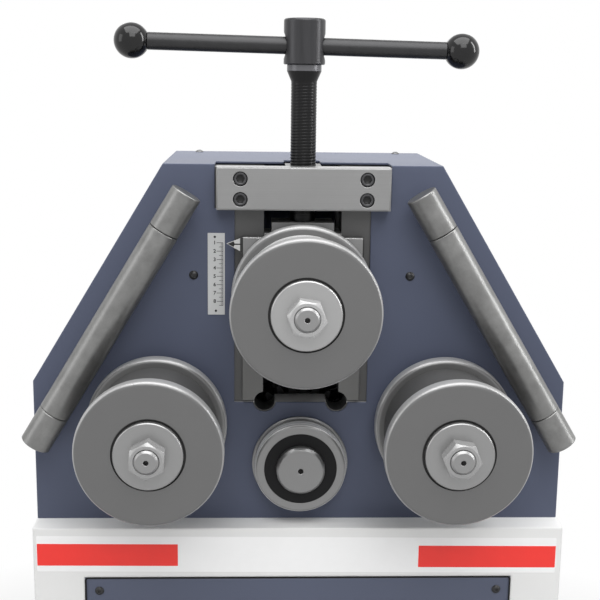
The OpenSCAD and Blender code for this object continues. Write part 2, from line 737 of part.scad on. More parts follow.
module centre_race() color(bright_steel) head() {
    turned(0, centre_h) polygon([[axle_d / 2 + run_gap, centre_f + seal_t + seal_sink + part_gap],
        [race_r - race_pin_d / 3, centre_f + seal_t + seal_sink + part_gap],
        [race_r - race_pin_d / 3, centre_f + centre_w - seal_t - seal_sink - part_gap],
        [axle_d / 2 + run_gap, centre_f + centre_w - seal_t - seal_sink - part_gap]]);
    for (i = [0:race_pin_count - 1]) let (a = 360 * i / race_pin_count)
        round_hole(race_r * cos(a), centre_h + race_r * sin(a), race_pin_d / 2,
                   centre_mid_f - race_pin_l / 2, race_pin_l);
}

module centre_roller() color(steel) head() difference() {
    turned(0, centre_h) polygon(rim_profile(seal_d / 2, centre_d / 2, centre_f, centre_w, centre_round));
    turned(0, centre_h) translate([seal_d / 2 - over, centre_mid_f - race_pin_l / 2 - slide_gap])
        square([race_sink + slide_gap + over, race_pin_l + 2 * slide_gap]);
}

module centre_seals() color(black_finish) head() for (f = [centre_f + seal_sink,
    centre_f + centre_w - seal_sink - seal_t])
    turned(0, centre_h) translate([axle_d / 2 + slide_gap, f])
        square([(seal_d - axle_d) / 2 - slide_gap - run_gap, seal_t]);

// Rolls
// Turned shaft: rear thread, bearing seats, collar, roll seat and front thread
module roll_shaft(x, h, front_seat_d, middle_d, rear_d, collar_f) difference() {
    turned(x, h) polygon([[0, shaft_rear_f], [rear_thread_d / 2 - thread_chamfer, shaft_rear_f],
        [rear_thread_d / 2, shaft_rear_f + thread_chamfer], [rear_thread_d / 2, rear_back_f],
        [rear_d / 2, rear_back_f], [rear_d / 2, rear_plate_f + part_gap],
        [middle_d / 2, rear_plate_f + part_gap], [middle_d / 2, plate_back_f],
        [front_seat_d / 2, plate_back_f], [front_seat_d / 2, collar_f],
        [collar_d / 2, collar_f], [collar_d / 2, back_disc_f], [shaft_d / 2, back_disc_f],
        [shaft_d / 2, washer_f - 1], [thread_d / 2, washer_f - 1],
        [thread_d / 2, front_reach - end_chamfer], [thread_d / 2 - end_chamfer, front_reach],
        [centre_hole_d / 2, front_reach], [centre_hole_d / 2, front_reach - centre_hole_l],
        [0, front_reach - centre_hole_l - centre_hole_d / 2]]);
    translate([x - key_w / 2, h + shaft_d / 2 - key_h / 2, back_disc_f])
        cube([key_w, key_h, washer_f - 1 - back_disc_f + over]);
}
module keyway(x, h) translate([x - key_w / 2 - run_gap, h, back_disc_f - over])
    cube([key_w + 2 * run_gap, shaft_d / 2 + key_h / 2 + run_gap, front_reach]);
module roll_key(x, h) color(bright_steel) head()
    translate([x - key_w / 2 + run_gap, h + shaft_d / 2 - key_h / 2, back_disc_f + 1])
        cube([key_w - 2 * run_gap, key_h, washer_f - 3 - back_disc_f]);
module back_disc(x, h) color(steel) head() difference() {
    turned(x, h) polygon(rim_profile(shaft_d / 2 + run_gap, roll_d / 2, back_disc_f, disc_t, rim_r));
    keyway(x, h);
}
module front_disc(x, h) color(steel) head() difference() {
    turned(x, h) polygon(rim_profile(shaft_d / 2 + run_gap, roll_d / 2, front_disc_f, disc_t, rim_r));
    round_hole(x, h, washer_d / 2 + washer_play, washer_f, washer_sink + over);
    keyway(x, h);
}
washer_play = 2.7;
drum_spigot = 0.5;
module drum(x, h) color(dark_steel) head() difference() {
    turned(x, h) polygon([[shaft_d / 2 + run_gap, drum_f], [drum_d / 2 - drum_spigot, drum_f],
        [drum_d / 2, drum_f + drum_spigot], [drum_d / 2, front_disc_f - drum_spigot],
        [drum_d / 2 - drum_spigot, front_disc_f], [shaft_d / 2 + run_gap, front_disc_f]]);
    keyway(x, h);
}
washer_chamfer = 1;
module roll_washer(x, h) color(bright_steel) head() turned(x, h) polygon([
    [thread_d / 2 + run_gap, washer_f], [washer_d / 2, washer_f],
    [washer_d / 2, nut_f - washer_chamfer], [washer_d / 2 - washer_chamfer, nut_f],
    [thread_d / 2 + run_gap, nut_f]]);
nut_chamfer = 3.2;
nut_bevel = 1;
nut_face_share = 0.934;
nut_face_d = nut_af * nut_face_share;
// Front hexagon nut, turned by a, and the rear lock nut
module roll_nuts(x, h, a) color(bright_steel) head() {
    translate([x, h, nut_f]) rotate([0, 0, a]) difference() {
        intersection() {
            rotate([0, 0, 30]) cylinder(d = nut_af / cos(30), h = nut_t, $fn = 6);
            rotate_extrude() polygon([[0, -over], [nut_af / 2 / cos(30) + over, -over],
                [nut_af / 2 / cos(30) + over, nut_t - nut_chamfer - over / 2],
                [nut_face_d / 2, nut_t], [0, nut_t]]);
        }
        rotate_extrude() polygon([[0, -over], [thread_d / 2 + run_gap, -over],
            [thread_d / 2 + run_gap, nut_t - nut_bevel], [thread_d / 2 + run_gap + nut_bevel, nut_t],
            [thread_d / 2 + run_gap + nut_bevel, nut_t + over], [0, nut_t + over]]);
    }
    difference() {
        round_hole(x, h, locknut_d / 2, rear_back_f - locknut_t, locknut_t - slide_gap);
        round_hole(x, h, rear_thread_d / 2 + run_gap, rear_back_f - locknut_t - over, locknut_t + 2 * over);
        for (i = [0:3]) translate([x, h, rear_back_f - locknut_t - over]) rotate([0, 0, 90 * i])
            translate([locknut_d / 2 - locknut_notch, -locknut_notch, 0])
                cube([locknut_d, 2 * locknut_notch, locknut_t + 2 * over]);
    }
}
locknut_notch = 3;
nut_turn_left = -3.5;
nut_turn_right = 22;
nut_turn_upper = 21;
upper_front_seat_d = shaft_d;

module upper_shaft() color(steel) head()
    roll_shaft(0, upper_h, upper_front_seat_d, shaft_d, rear_seat_d, flange_f + part_gap);
module upper_back_disc() back_disc(0, upper_h);
module upper_drum() drum(0, upper_h);
module upper_front_disc() front_disc(0, upper_h);
module upper_washer() roll_washer(0, upper_h);
module upper_nuts() roll_nuts(0, upper_h, nut_turn_upper);
module upper_key() roll_key(0, upper_h);
module left_shaft() color(steel) head()
    roll_shaft(-roll_x, lower_h, lower_seat_d, gear_seat_d, rear_seat_d, plate_f);
module left_back_disc() back_disc(-roll_x, lower_h);
module left_drum() drum(-roll_x, lower_h);
module left_front_disc() front_disc(-roll_x, lower_h);
module left_washer() roll_washer(-roll_x, lower_h);
module left_nuts() roll_nuts(-roll_x, lower_h, nut_turn_left);
module left_key() roll_key(-roll_x, lower_h);
module right_shaft() color(steel) head()
    roll_shaft(roll_x, lower_h, lower_seat_d, gear_seat_d, rear_seat_d, plate_f);
module right_back_disc() back_disc(roll_x, lower_h);
module right_drum() drum(roll_x, lower_h);
module right_front_disc() front_disc(roll_x, lower_h);
module right_washer() roll_washer(roll_x, lower_h);
module right_nuts() roll_nuts(roll_x, lower_h, nut_turn_right);
module right_key() roll_key(roll_x, lower_h);

// Gears: involute flanks, each tooth thinned by the play
function involute(a) = tan(a) * 180 / PI - a;
function half_tooth(n, r) = let (rp = n * gear_m / 2, rb = rp * cos(pressure_angle))
    90 / n - gear_play / 2 / rp * 180 / PI + involute(pressure_angle) - involute(acos(min(1, rb / r)));
function gear_outline(n, phase) = let (rp = n * gear_m / 2, rb = rp * cos(pressure_angle),
    tip = rp + gear_m, root = rp - 1.25 * gear_m, low = max(rb, root), mid = (low + tip) / 2)
    [for (i = [0:n - 1]) let (c = phase + 360 * i / n)
        for (q = [[root, -1, low], [low, -1, low], [mid, -1, mid], [tip, -1, tip],
                  [tip, 1, tip], [mid, 1, mid], [low, 1, low], [root, 1, low]])
            let (a = c + q[1] * half_tooth(n, q[2])) [q[0] * cos(a), q[0] * sin(a)]];
pinion_dir = [atan2(lower_h - pinion_h, -roll_x), atan2(lower_h - pinion_h, roll_x)];
pinion_phase = pinion_dir[0];
// Phase that puts a gap of a roll's gear on the pinion's tooth, seen along direction d
function gear_phase(d) = let (pitch = 360 / pinion_teeth, k = round((d - pinion_phase) / pitch),
    off = pinion_phase + k * pitch - d)
    d + 180 - off * pinion_teeth / gear_teeth + 180 / gear_teeth;
gear_hub_d = 80;
gear_rim = 14;
gear_web_sink = 9;

module roll_gear(x, dir) color(dark_steel) head() difference() {
    translate([x, lower_h, gear_f]) linear_extrude(gear_face) polygon(gear_outline(gear_teeth, gear_phase(dir)));
    round_hole(x, lower_h, gear_seat_d / 2 + run_gap, gear_f - over, gear_face + 2 * over);
    for (f = [gear_f - over, gear_f + gear_face - gear_web_sink])
        turned(x, lower_h) translate([gear_hub_d / 2, f])
            square([gear_teeth * gear_m / 2 - 1.25 * gear_m - gear_rim - gear_hub_d / 2,
                    gear_web_sink + over]);
}
module left_gear() roll_gear(-roll_x, pinion_dir[0]);
module right_gear() roll_gear(roll_x, pinion_dir[1]);

module drive_pinion() color(dark_steel) head() {
    translate([0, pinion_h, gear_f]) linear_extrude(gear_face)
        polygon(gear_outline(pinion_teeth, pinion_phase));
    turned(0, pinion_h) polygon([[0, gearbox_back_f + part_gap], [pinion_shaft_d / 2, gearbox_back_f + part_gap],
        [pinion_shaft_d / 2, gear_f + over], [0, gear_f + over]]);
    turned(0, pinion_h) polygon([[0, gear_f + gear_face - over], [pinion_nose_d / 2, gear_f + gear_face - over],
        [pinion_nose_d / 2, plate_back_f + pocket_l - 1], [0, plate_back_f + pocket_l - 1]]);
}

// Worm gearbox on the rear plate, with the motor hanging in the cabinet
gearbox_low = 14;
gearbox_top = pinion_h + 62;
gearbox_round = 40;
motor_rim = 10;
motor_flange_d = motor_d + 2 * motor_rim;
motor_flange_t = 14;
motor_flange_h = -36;
fin_count = 24;
fin_h = 7;
fin_w = 4;
fan_l = 54;
box_w = 92;
box_h = 100;
box_out = 46;

module gearbox() color(dark_steel) head() difference() {
    union() {
        slab(gearbox_back_f, gearbox_t) polygon(concat(
            [[-gearbox_w / 2, gearbox_low], [gearbox_w / 2, gearbox_low]],
            arc(gearbox_w / 2 - gearbox_round, gearbox_top - gearbox_round, gearbox_round, 0, 90, 8),
            arc(-gearbox_w / 2 + gearbox_round, gearbox_top - gearbox_round, gearbox_round, 90, 180, 8)));
        turned(0, pinion_h) translate([pinion_shaft_d / 2, gearbox_front_f - over])
            square([gearbox_round / 2, over + gearbox_gap]);
        upright(0, motor_flange_h, gearbox_f) cylinder(d = motor_neck_d, h = gearbox_low + over - motor_flange_h);
    }
    round_hole(0, pinion_h, pinion_shaft_d / 2 + run_gap, gearbox_back_f - over, gearbox_t + 2 * over);
}

module motor() color(blue_paint) head() {
    upright(0, motor_flange_h - motor_flange_t, gearbox_f) cylinder(d = motor_flange_d, h = motor_flange_t);
    upright(0, motor_flange_h - motor_flange_t - motor_l, gearbox_f) {
        cylinder(d = motor_d, h = fan_l);
        translate([0, 0, fan_l - over]) cylinder(d = motor_d - 4 * fin_h, h = motor_l - fan_l + 2 * over);
        for (i = [0:fin_count - 1]) rotate([0, 0, 360 * i / fin_count])
            translate([motor_d / 2 - 3 * fin_h, -fin_w / 2, fan_l - over])
                cube([2 * fin_h, fin_w, motor_l - fan_l - motor_flange_t]);
        translate([-box_w / 2, -motor_d / 2 - box_out / 2, motor_l - box_h - motor_flange_t])
            cube([box_w, box_out, box_h]);
    }
}

// Slide
carriage_drop = 68;
carriage_low = upper_h - carriage_drop;
carriage_back = 3;
rear_block = 58;
rear_block_low = upper_h - rear_block;
rear_block_top = upper_h + rear_block;
shoulder_rise = 4;
carriage_shoulder = flange_rise + shoulder_rise;
tube_wall = 14;
tube_d = upper_bearing_d + 2 * tube_wall;
pocket_d = screw_d + 2 * slide_gap;
pad_h = 4;
foot_h = 9;
keeper_t = 6;
keeper_side = 12.7;
keeper_end = 1.7;
keeper_w = pocket_d + 2 * keeper_side;
keeper_d = pocket_d + 2 * keeper_end;
neck_groove = 4;
neck_groove_d = screw_d - 2 * neck_groove;
upper_bearing_w = 19;
pad_low = boss_top - keeper_t - foot_h - pad_h;

module slide_carriage() color(dark_steel) head() difference() {
    union() {
        slab(plate_back_f - carriage_back, flange_f - plate_back_f + carriage_back) {
            translate([-slot_w / 2 + slide_gap, carriage_low])
                square([slot_w - 2 * slide_gap, upper_h + carriage_shoulder - carriage_low]);
            translate([-boss_w / 2, upper_h]) square([boss_w, boss_rise]);
        }
        turned(0, upper_h) translate([0, rear_plate_f + slide_gap])
            square([tube_d / 2, plate_gap - 2 * slide_gap]);
        slab(rear_back_f, rear_plate_t + carriage_back) translate([-slot_w / 2 + slide_gap, rear_block_low])
            square([slot_w - 2 * slide_gap, rear_block_top - rear_block_low]);
    }
    // Bore of the upper shaft and its bearing seats
    round_hole(0, upper_h, shaft_d / 2 + over, rear_back_f - over, flange_f - rear_back_f + 2 * over);
    round_hole(0, upper_h, upper_bearing_d / 2 + run_gap, flange_f - upper_bearing_w, upper_bearing_w + over);
    round_hole(0, upper_h, upper_bearing_d / 2 + run_gap, rear_back_f - over, upper_bearing_w + over);
    // Pocket of the screw's foot and recess of its keeper
    upright(0, pad_low, screw_f) cylinder(d = pocket_d, h = boss_top - pad_low + over);
    translate([-keeper_w / 2 - run_gap, boss_top - keeper_t, screw_f - keeper_d / 2 - run_gap])
        cube([keeper_w + 2 * run_gap, keeper_t + over, keeper_d + 2 * run_gap]);
}

module slide_flange() color(bright_steel) head() difference() {
    translate([-flange_w / 2, upper_h - flange_drop, flange_f])
        cube([flange_w, flange_rise + flange_drop, flange_t]);
    round_hole(0, upper_h, collar_d / 2 + 2 * over, flange_f - over, flange_t + 2 * over);
}

pointer_drop = 9;
pointer_h = upper_h + flange_rise - pointer_drop;
pointer_t = 1.5;
pointer_half = 8.5;
module pointer() color(white_paint) head() {
    slab(flange_f + flange_t - 2 * pointer_t, pointer_t) polygon([
        [-flange_w / 2 - pointer_reach, pointer_h + pointer_t], [-flange_w / 2, pointer_h - pointer_half],
        [-flange_w / 2, pointer_h + pointer_half]]);
    translate([-flange_w / 2 - pointer_t, pointer_h - pointer_half, flange_f])
        cube([pointer_t, 2 * pointer_half, flange_t - pointer_t]);
}

module upper_bearings() color(bright_steel) head() {
    bearing(0, upper_h, flange_f - upper_bearing_w, shaft_d + 2 * run_gap, upper_bearing_d, upper_bearing_w);
    bearing(0, upper_h, rear_back_f, rear_seat_d + 2 * run_gap, upper_bearing_d, upper_bearing_w);
}

module thrust_pad() color(bronze) head() upright(0, pad_low, screw_f)
    cylinder(d = screw_d, h = pad_h - run_gap);

module foot_keeper() color(steel) head() difference() {
    translate([-keeper_w / 2, boss_top - keeper_t, screw_f - keeper_d / 2]) cube([keeper_w, keeper_t, keeper_d]);
    upright(0, boss_top - keeper_t - over, screw_f) cylinder(d = neck_groove_d + 2 * slide_gap, h = keeper_t + 2 * over);
    translate([-part_gap / 2, boss_top - keeper_t - over, screw_f - keeper_d])
        cube([part_gap, keeper_t + 2 * over, 2 * keeper_d]);
}

// Pressure screw with its hub, and the tommy bar
neck_l = 7.5;
cone_l = 11.5;
cone_top = hub_top - hub_h - neck_l;
cone_low = cone_top - cone_l;
hub_round = 3;
foot_low = pad_low + pad_h;
module pressure_screw() color(black_finish) head() difference() {
    upright(0, 0, screw_f) rotate_extrude() polygon(concat([[0, foot_low],
        [screw_d / 2 - 1, foot_low], [screw_d / 2, foot_low + 1],
        [screw_d / 2, boss_top - keeper_t - slide_gap], [neck_groove_d / 2, boss_top - keeper_t - slide_gap],
        [neck_groove_d / 2, boss_top + slide_gap], [screw_d / 2, boss_top + slide_gap],
        [screw_d / 2, cone_low], [neck_d / 2, cone_top], [neck_d / 2, hub_top - hub_h],
        [hub_d / 2 - 1, hub_top - hub_h], [hub_d / 2, hub_top - hub_h + 1]],
        arc(hub_d / 2 - hub_round, hub_top - hub_round, hub_round, 0, 90, 6), [[0, hub_top]]));
    bar_place(-hub_d) cylinder(d = bar_d + 2 * run_gap, h = 2 * hub_d);
}
// The tommy bar's axis is its own Z axis, from a place measured from the screw
module bar_place(t) translate([0, bar_h, screw_f]) rotate([0, 0, -bar_lean]) rotate([0, 90, 0])
    translate([0, 0, t]) children();
bar_neck_d = 14;
ball_flat = 3;
module tommy_bar() color(black_finish) head() bar_place(-bar_slid) {
    translate([0, 0, -bar_l / 2 + ball_d / 2]) rotate_extrude() polygon([[0, -ball_d / 4],
        [bar_neck_d / 2, -ball_d / 4], [bar_neck_d / 2, -ball_flat], [bar_d / 2 - 1, -ball_flat],
        [bar_d / 2, 1 - ball_flat], [bar_d / 2, bar_l - ball_d + ball_flat - 1],
        [bar_d / 2 - 1, bar_l - ball_d + ball_flat], [bar_neck_d / 2, bar_l - ball_d + ball_flat],
        [bar_neck_d / 2, bar_l - ball_d * 3 / 4], [0, bar_l - ball_d * 3 / 4]]);
}
module ball_knobs() color(black_finish) head() bar_place(-bar_slid) for (s = [-1, 1])
    translate([0, 0, s * bar_l / 2]) difference() {
        sphere(d = ball_d);
        rotate([0, s > 0 ? 180 : 0, 0]) {
            translate([0, 0, ball_d / 4]) cylinder(d = bar_neck_d + 2 * run_gap, h = ball_d);
            translate([0, 0, ball_d / 2 - ball_flat]) cylinder(d = ball_d, h = ball_d);
        }
    }

cabinet_shell();
base_feet();
service_panel();
vent_panel();
head_cover();
rear_cover();
cover_screws();
front_plate();
rear_plate();
spacers();
tie_bolts();
crossbar();
crossbar_screws();
screw_nut();
guide_strips();
scale_plate();
lower_bearings();
guide_end_blocks();
guide_axles();
centre_axle();
centre_race();
gearbox();
motor();
slide_carriage();
slide_flange();
pointer();
upper_bearings();
thrust_pad();
foot_keeper();
pressure_screw();
tommy_bar();
ball_knobs();
upper_shaft();
upper_back_disc();
upper_drum();
upper_front_disc();
upper_washer();
upper_nuts();
upper_key();
left_shaft();
left_gear();
left_back_disc();
left_drum();
left_front_disc();
left_washer();
left_nuts();
left_key();
right_shaft();
right_gear();
right_back_disc();
right_drum();
right_front_disc();
right_washer();
right_nuts();
right_key();
centre_roller();
centre_seals();
left_sleeve();
right_sleeve();
drive_pinion();
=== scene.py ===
"""Ring roller: finishes, thread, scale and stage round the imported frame.

Lengths in the constants and in the shapes are millimetres in the head's own frame:
x to the right, h up from the cabinet's top and f forward of the head's front face.
at() turns them into metres in the machine's frame, which the finishes and the
stage use.
"""
import math

import bpy
import numpy as np
from mathutils import Matrix, Vector


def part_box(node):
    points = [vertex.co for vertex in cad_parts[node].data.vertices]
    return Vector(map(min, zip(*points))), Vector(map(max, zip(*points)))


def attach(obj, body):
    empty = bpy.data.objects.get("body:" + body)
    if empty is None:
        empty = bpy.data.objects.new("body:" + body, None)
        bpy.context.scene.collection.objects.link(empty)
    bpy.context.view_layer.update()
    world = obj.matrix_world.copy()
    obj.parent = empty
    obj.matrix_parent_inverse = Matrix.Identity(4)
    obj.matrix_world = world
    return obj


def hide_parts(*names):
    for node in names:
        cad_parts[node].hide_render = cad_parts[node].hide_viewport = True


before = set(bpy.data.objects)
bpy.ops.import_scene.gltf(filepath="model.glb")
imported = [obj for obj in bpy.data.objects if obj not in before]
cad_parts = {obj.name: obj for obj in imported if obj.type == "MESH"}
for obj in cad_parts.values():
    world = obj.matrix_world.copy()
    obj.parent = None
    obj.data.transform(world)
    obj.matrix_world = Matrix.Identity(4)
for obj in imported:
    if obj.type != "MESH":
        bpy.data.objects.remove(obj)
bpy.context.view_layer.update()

bl_info = {
    "name": "Ring roller",
    "version": (1, 0, 0),
    "blender": (4, 5, 0),
    "location": "3D View > Sidebar > Ring roller",
    "description": "Dresses the frame of a three-roll ring roller and sets its stage",
    "category": "Object",
}

MM = 0.001
FACE_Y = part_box("head_cover")[0].y
DECK_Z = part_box("cabinet_shell")[1].z
CABINET_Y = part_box("cabinet_shell")[0].y
LEDGE = (FACE_Y - CABINET_Y) / MM
# Centres of the things that turn, x and h
ROLLS = {"left": (-171.0, 127.0), "right": (171.0, 127.0), "upper": (0.0, 284.0)}
CENTRE = (0.0, 73.0)
# A roll's drum, the recess round its washer, inside which the steel is painted dark as painted
# shade, and on its rim where the smooth part starts and where the scuffed part starts and is full,
# the scuffed part painted pale also as a painted highlight, all as radii
DRUM_R, RECESS_R, RIM_WEAR_AND_HIGHLIGHT = 73.0, 41.3, (77.6, 80.6, 81.9)
CENTRE_SIDE_R = 53.9
# The head's height, the slot's bottom, whose level face is painted bright as painted light, and
# the pointer's end at its plate, past which the pointer is painted black as a painted shadow
HEAD_H, SLOT_LOW, POINTER_ROOT = 434.0, 148.0, -73.3
# The pressure screw: its depth, its hub's radius, its collar's radius and, below the
# hub's top, the collar's two ends and the hub's underside
SCREW_F, HUB_R, COLLAR_R = -20.0, 24.0, 20.0
COLLAR_LOW, COLLAR_TOP, HUB_LOW = 59.1, 52.3, 52.2
# The tommy bar's hole: its height, its lean, its radius and its countersunk mouth's
BAR_H, BAR_TILT, BAR_HOLE_R, BAR_MOUTH_R = 569.0, math.radians(1.1), 10.3, 15.0
PANEL_SIDE, PANEL_LOW, PANEL_TOP = 259.0, -533.0, -63.0
# The scale: its plate's front, its first line's height, its lines' right end
PLATE_F, FIRST_LINE, LINE_END = 0.8, 342.3, -93.4
# Fineness of the turned steel's rings
RING_SCALE = 2600.0
# The camera: its focal length in frame widths, its place by x, h and f in millimetres, and
# its yaw, pitch and roll in radians
CAMERA_FOCUS = 1125.142 / 600
CAMERA_PLACE = (-52.702, 536.125, 1309.079)
CAMERA_TURN = (0.038563, 0.197299, 0.013111)
# Where the floor's paint starts to fade and where it is white, in metres from the
# middle, and the world's light on the machine
FLOOR_FADE, WORLD_LIGHT = (0.45, 1.25), 0.46
# Each lamp's place, aim, width and height in metres, and power in watts
LAMPS = {
    "lamp_top": ((0.0, -0.75, 3.0), (0.0, -0.7, 0.8), (2.7, 1.9), 62.0),
    "lamp_right": ((2.5, -0.42, 2.05), (0.0, -0.1, 1.0), (0.38, 2.2), 31.0),
    "lamp_left": ((-2.8, -1.0, 1.7), (0.0, -0.1, 0.8), (1.2, 1.8), 11.0),
    "lamp_front": ((0.3, -2.5, 2.9), (0.0, 0.0, 0.8), (1.8, 1.4), 27.0),
    "lamp_back": ((0.0, 2.8, 2.2), (0.0, 0.0, 0.8), (2.2, 1.2), 10.0),
}


def linear(red, green, blue):
    """Screen values from 0 to 255 as a scene-linear colour: each is divided by 255,
    then (v + 0.055) / 1.055 to the power 2.4, or v / 12.92 near black."""
    out = []
    for v in (red, green, blue):
        v /= 255
        out.append(v / 12.92 if v <= 0.04045 else ((v + 0.055) / 1.055) ** 2.4)
    return tuple(out)


# ---------------------------------------------------------------- settings

class RingRollerSizes(bpy.types.PropertyGroup):
    screw_pitch: bpy.props.FloatProperty(
        name="Screw pitch", description="Rise of the pressure screw's thread in one turn",
        default=0.0035, min=0.001, unit="LENGTH")
    thread_depth: bpy.props.FloatProperty(
        name="Thread depth", description="Depth of the pressure screw's thread",
        default=0.00028, min=0.0, unit="LENGTH")
    stripe_height: bpy.props.FloatProperty(
        name="Stripe height", description="Height of the red stripes on the cabinet",
        default=0.0278, min=0.001, unit="LENGTH")
    digit_height: bpy.props.FloatProperty(
        name="Digit height", description="Height of the numbers on the scale",
        default=0.0042, min=0.001, unit="LENGTH")
    edge_radius: bpy.props.FloatProperty(
        name="Edge radius", description="Rounding that the finishes give to sharp edges",
        default=0.0009, min=0.0, unit="LENGTH")


class RingRollerColours(bpy.types.PropertyGroup):
    blue: bpy.props.FloatVectorProperty(
        name="Head paint", description="Blue-grey powder coat of the covers",
        subtype="COLOR", size=3, min=0, max=1, default=linear(84, 90, 109))
    white: bpy.props.FloatVectorProperty(
        name="Cabinet paint", description="White powder coat of the cabinet",
        subtype="COLOR", size=3, min=0, max=1, default=linear(236, 236, 235))
    red: bpy.props.FloatVectorProperty(
        name="Stripe", description="Red film of the cabinet's stripes",
        subtype="COLOR", size=3, min=0, max=1, default=linear(250, 52, 44))
    roll: bpy.props.FloatVectorProperty(
        name="Roll steel", description="Turned faces of the rolls",
        subtype="COLOR", size=3, min=0, max=1, default=linear(112, 112, 112))
    bright: bpy.props.FloatVectorProperty(
        name="Bright steel", description="Ground bars, nuts and washers",
        subtype="COLOR", size=3, min=0, max=1, default=linear(145, 145, 145))
    black: bpy.props.FloatVectorProperty(
        name="Black oxide", description="Screw, hub and tommy bar",
        subtype="COLOR", size=3, min=0, max=1, default=linear(52, 52, 53))


# ---------------------------------------------------------------- shader maths

class Link:
    """A shader socket in a Python sum: each operator adds the Math node of its name."""

    def __init__(self, finish, socket):
        self.finish, self.socket = finish, socket

    def math(self, operation, *values):
        """A Math node with this value first."""
        return self.finish.add("ShaderNodeMath", {"operation": operation},
                               dict(enumerate((self, *values))))

    def back(self, operation, value):
        """A Math node with this value second."""
        return self.finish.add("ShaderNodeMath", {"operation": operation},
                               {0: value, 1: self})

    def __add__(self, v): return self.math("ADD", v)
    def __radd__(self, v): return self.math("ADD", v)
    def __sub__(self, v): return self.math("SUBTRACT", v)
    def __rsub__(self, v): return self.back("SUBTRACT", v)
    def __mul__(self, v): return self.math("MULTIPLY", v)
    def __pow__(self, v): return self.math("POWER", v)

    def clip(self, low, high):
        """This value spread from low..high to 0..1 and held inside."""
        return self.finish.add("ShaderNodeMapRange", {"clamp": True},
                               {"Value": self, "From Min": low, "From Max": high})


class Finish:
    """A material whose nodes are added by one method, and whose object coordinates
    are in metres in the machine's frame."""

    def __init__(self, name):
        self.material = bpy.data.materials.new(name)
        self.material.use_nodes = True
        self.tree = self.material.node_tree
        self.tree.nodes.clear()
        self.output = self.tree.nodes.new("ShaderNodeOutputMaterial")
        self.place = self.add("ShaderNodeTexCoord", {}, {}, "Object")

    def add(self, kind, settings, values, out=0):
        """Adds a node: its settings first, then its sockets' values or links."""
        node = self.tree.nodes.new(kind)
        for key, value in settings.items():
            setattr(node, key, value)
        for key, value in values.items():
            socket = node.inputs[key]
            if isinstance(value, Link):
                self.tree.links.new(value.socket, socket)
            elif socket.type == "RGBA" and len(value) == 3:
                socket.default_value = (*value, 1.0)
            else:
                socket.default_value = value
        return Link(self, node.outputs[out])

    def noise(self, scale, detail, rough=0.5, where=None):
        """Cloudy noise in space."""
        return self.add("ShaderNodeTexNoise", {}, {
            "Vector": where or self.place, "Scale": scale, "Detail": detail,
            "Roughness": rough})

    def rings(self, where, scale, detail=2.0):
        """Noise along one number only: even rings for a radius, bands for a depth."""
        return self.add("ShaderNodeTexNoise", {"noise_dimensions": "1D"},
                        {"W": where, "Scale": scale, "Detail": detail})

    def mix(self, share, first, second):
        """Colour between first and second by share."""
        return self.add("ShaderNodeMix", {"data_type": "RGBA"},
                        {0: share, 6: first, 7: second}, 2)

    def axes(self):
        """The three numbers of the place."""
        node = self.add("ShaderNodeSeparateXYZ", {}, {0: self.place}).socket.node
        return [Link(self, node.outputs[i]) for i in range(3)]

    def stretch(self, scale):
        """The place scaled by three numbers, for brushed grain."""
        return self.add("ShaderNodeVectorMath", {"operation": "MULTIPLY"},
                        {0: self.place, 1: scale})

    def radius(self, x, z):
        """Distance from an axis that runs front to back through x, z."""
        px, _, pz = self.axes()
        return ((px - x) ** 2 + (pz - z) ** 2) ** 0.5

    def soft_edge(self, radius):
        """Normal with the edges rounded, and how strongly it leaves the flat one."""
        rounded = self.add("ShaderNodeBevel", {"samples": 6}, {"Radius": radius})
        flat = self.add("ShaderNodeNewGeometry", {}, {}, "True Normal")
        dot = self.add("ShaderNodeVectorMath", {"operation": "DOT_PRODUCT"},
                       {0: rounded, 1: flat}, "Value")
        return rounded, (1.0 - dot).clip(0.02, 0.3)

    def bump(self, height, distance, normal=None):
        """The normal, bent by a height from 0 to 1 that stands for distance in metres."""
        values = {"Height": height, "Distance": distance, "Strength": 1.0}
        if normal:
            values["Normal"] = normal
        return self.add("ShaderNodeBump", {}, values)

    def surface(self, **values):
        """Ends the material in one Principled shader with these sockets."""
        shader = self.add("ShaderNodeBsdfPrincipled", {}, {
            key.replace("_", " "): value for key, value in values.items()})
        self.tree.links.new(shader.socket, self.output.inputs["Surface"])
        return self.material


def shade(colour, factor):
    """The colour times factor, with no channel above one."""
    return tuple(min(1.0, c * factor) for c in colour)


def powder_coat(name, colour, edge, roughness, gloss=0.35):
    """Powder coat: fine orange peel, a faint cloudiness and softened edges painted paler as a
    painted highlight.
    """
    f = Finish(name)
    rounded, rim = f.soft_edge(edge)
    cloud = f.noise(7.0, 3.0)
    peel = f.noise(900.0, 2.0)
    tone = f.mix(cloud, shade(colour, 0.95), shade(colour, 1.05))
    # Edges painted paler: a painted highlight
    tone = f.mix(rim * 0.6, tone, shade(colour, 2.0))
    return f.surface(Base_Color=tone, Roughness=roughness + (cloud - 0.5) * 0.08,
                     Normal=f.bump(peel, 0.00006, rounded), Specular_IOR_Level=gloss)


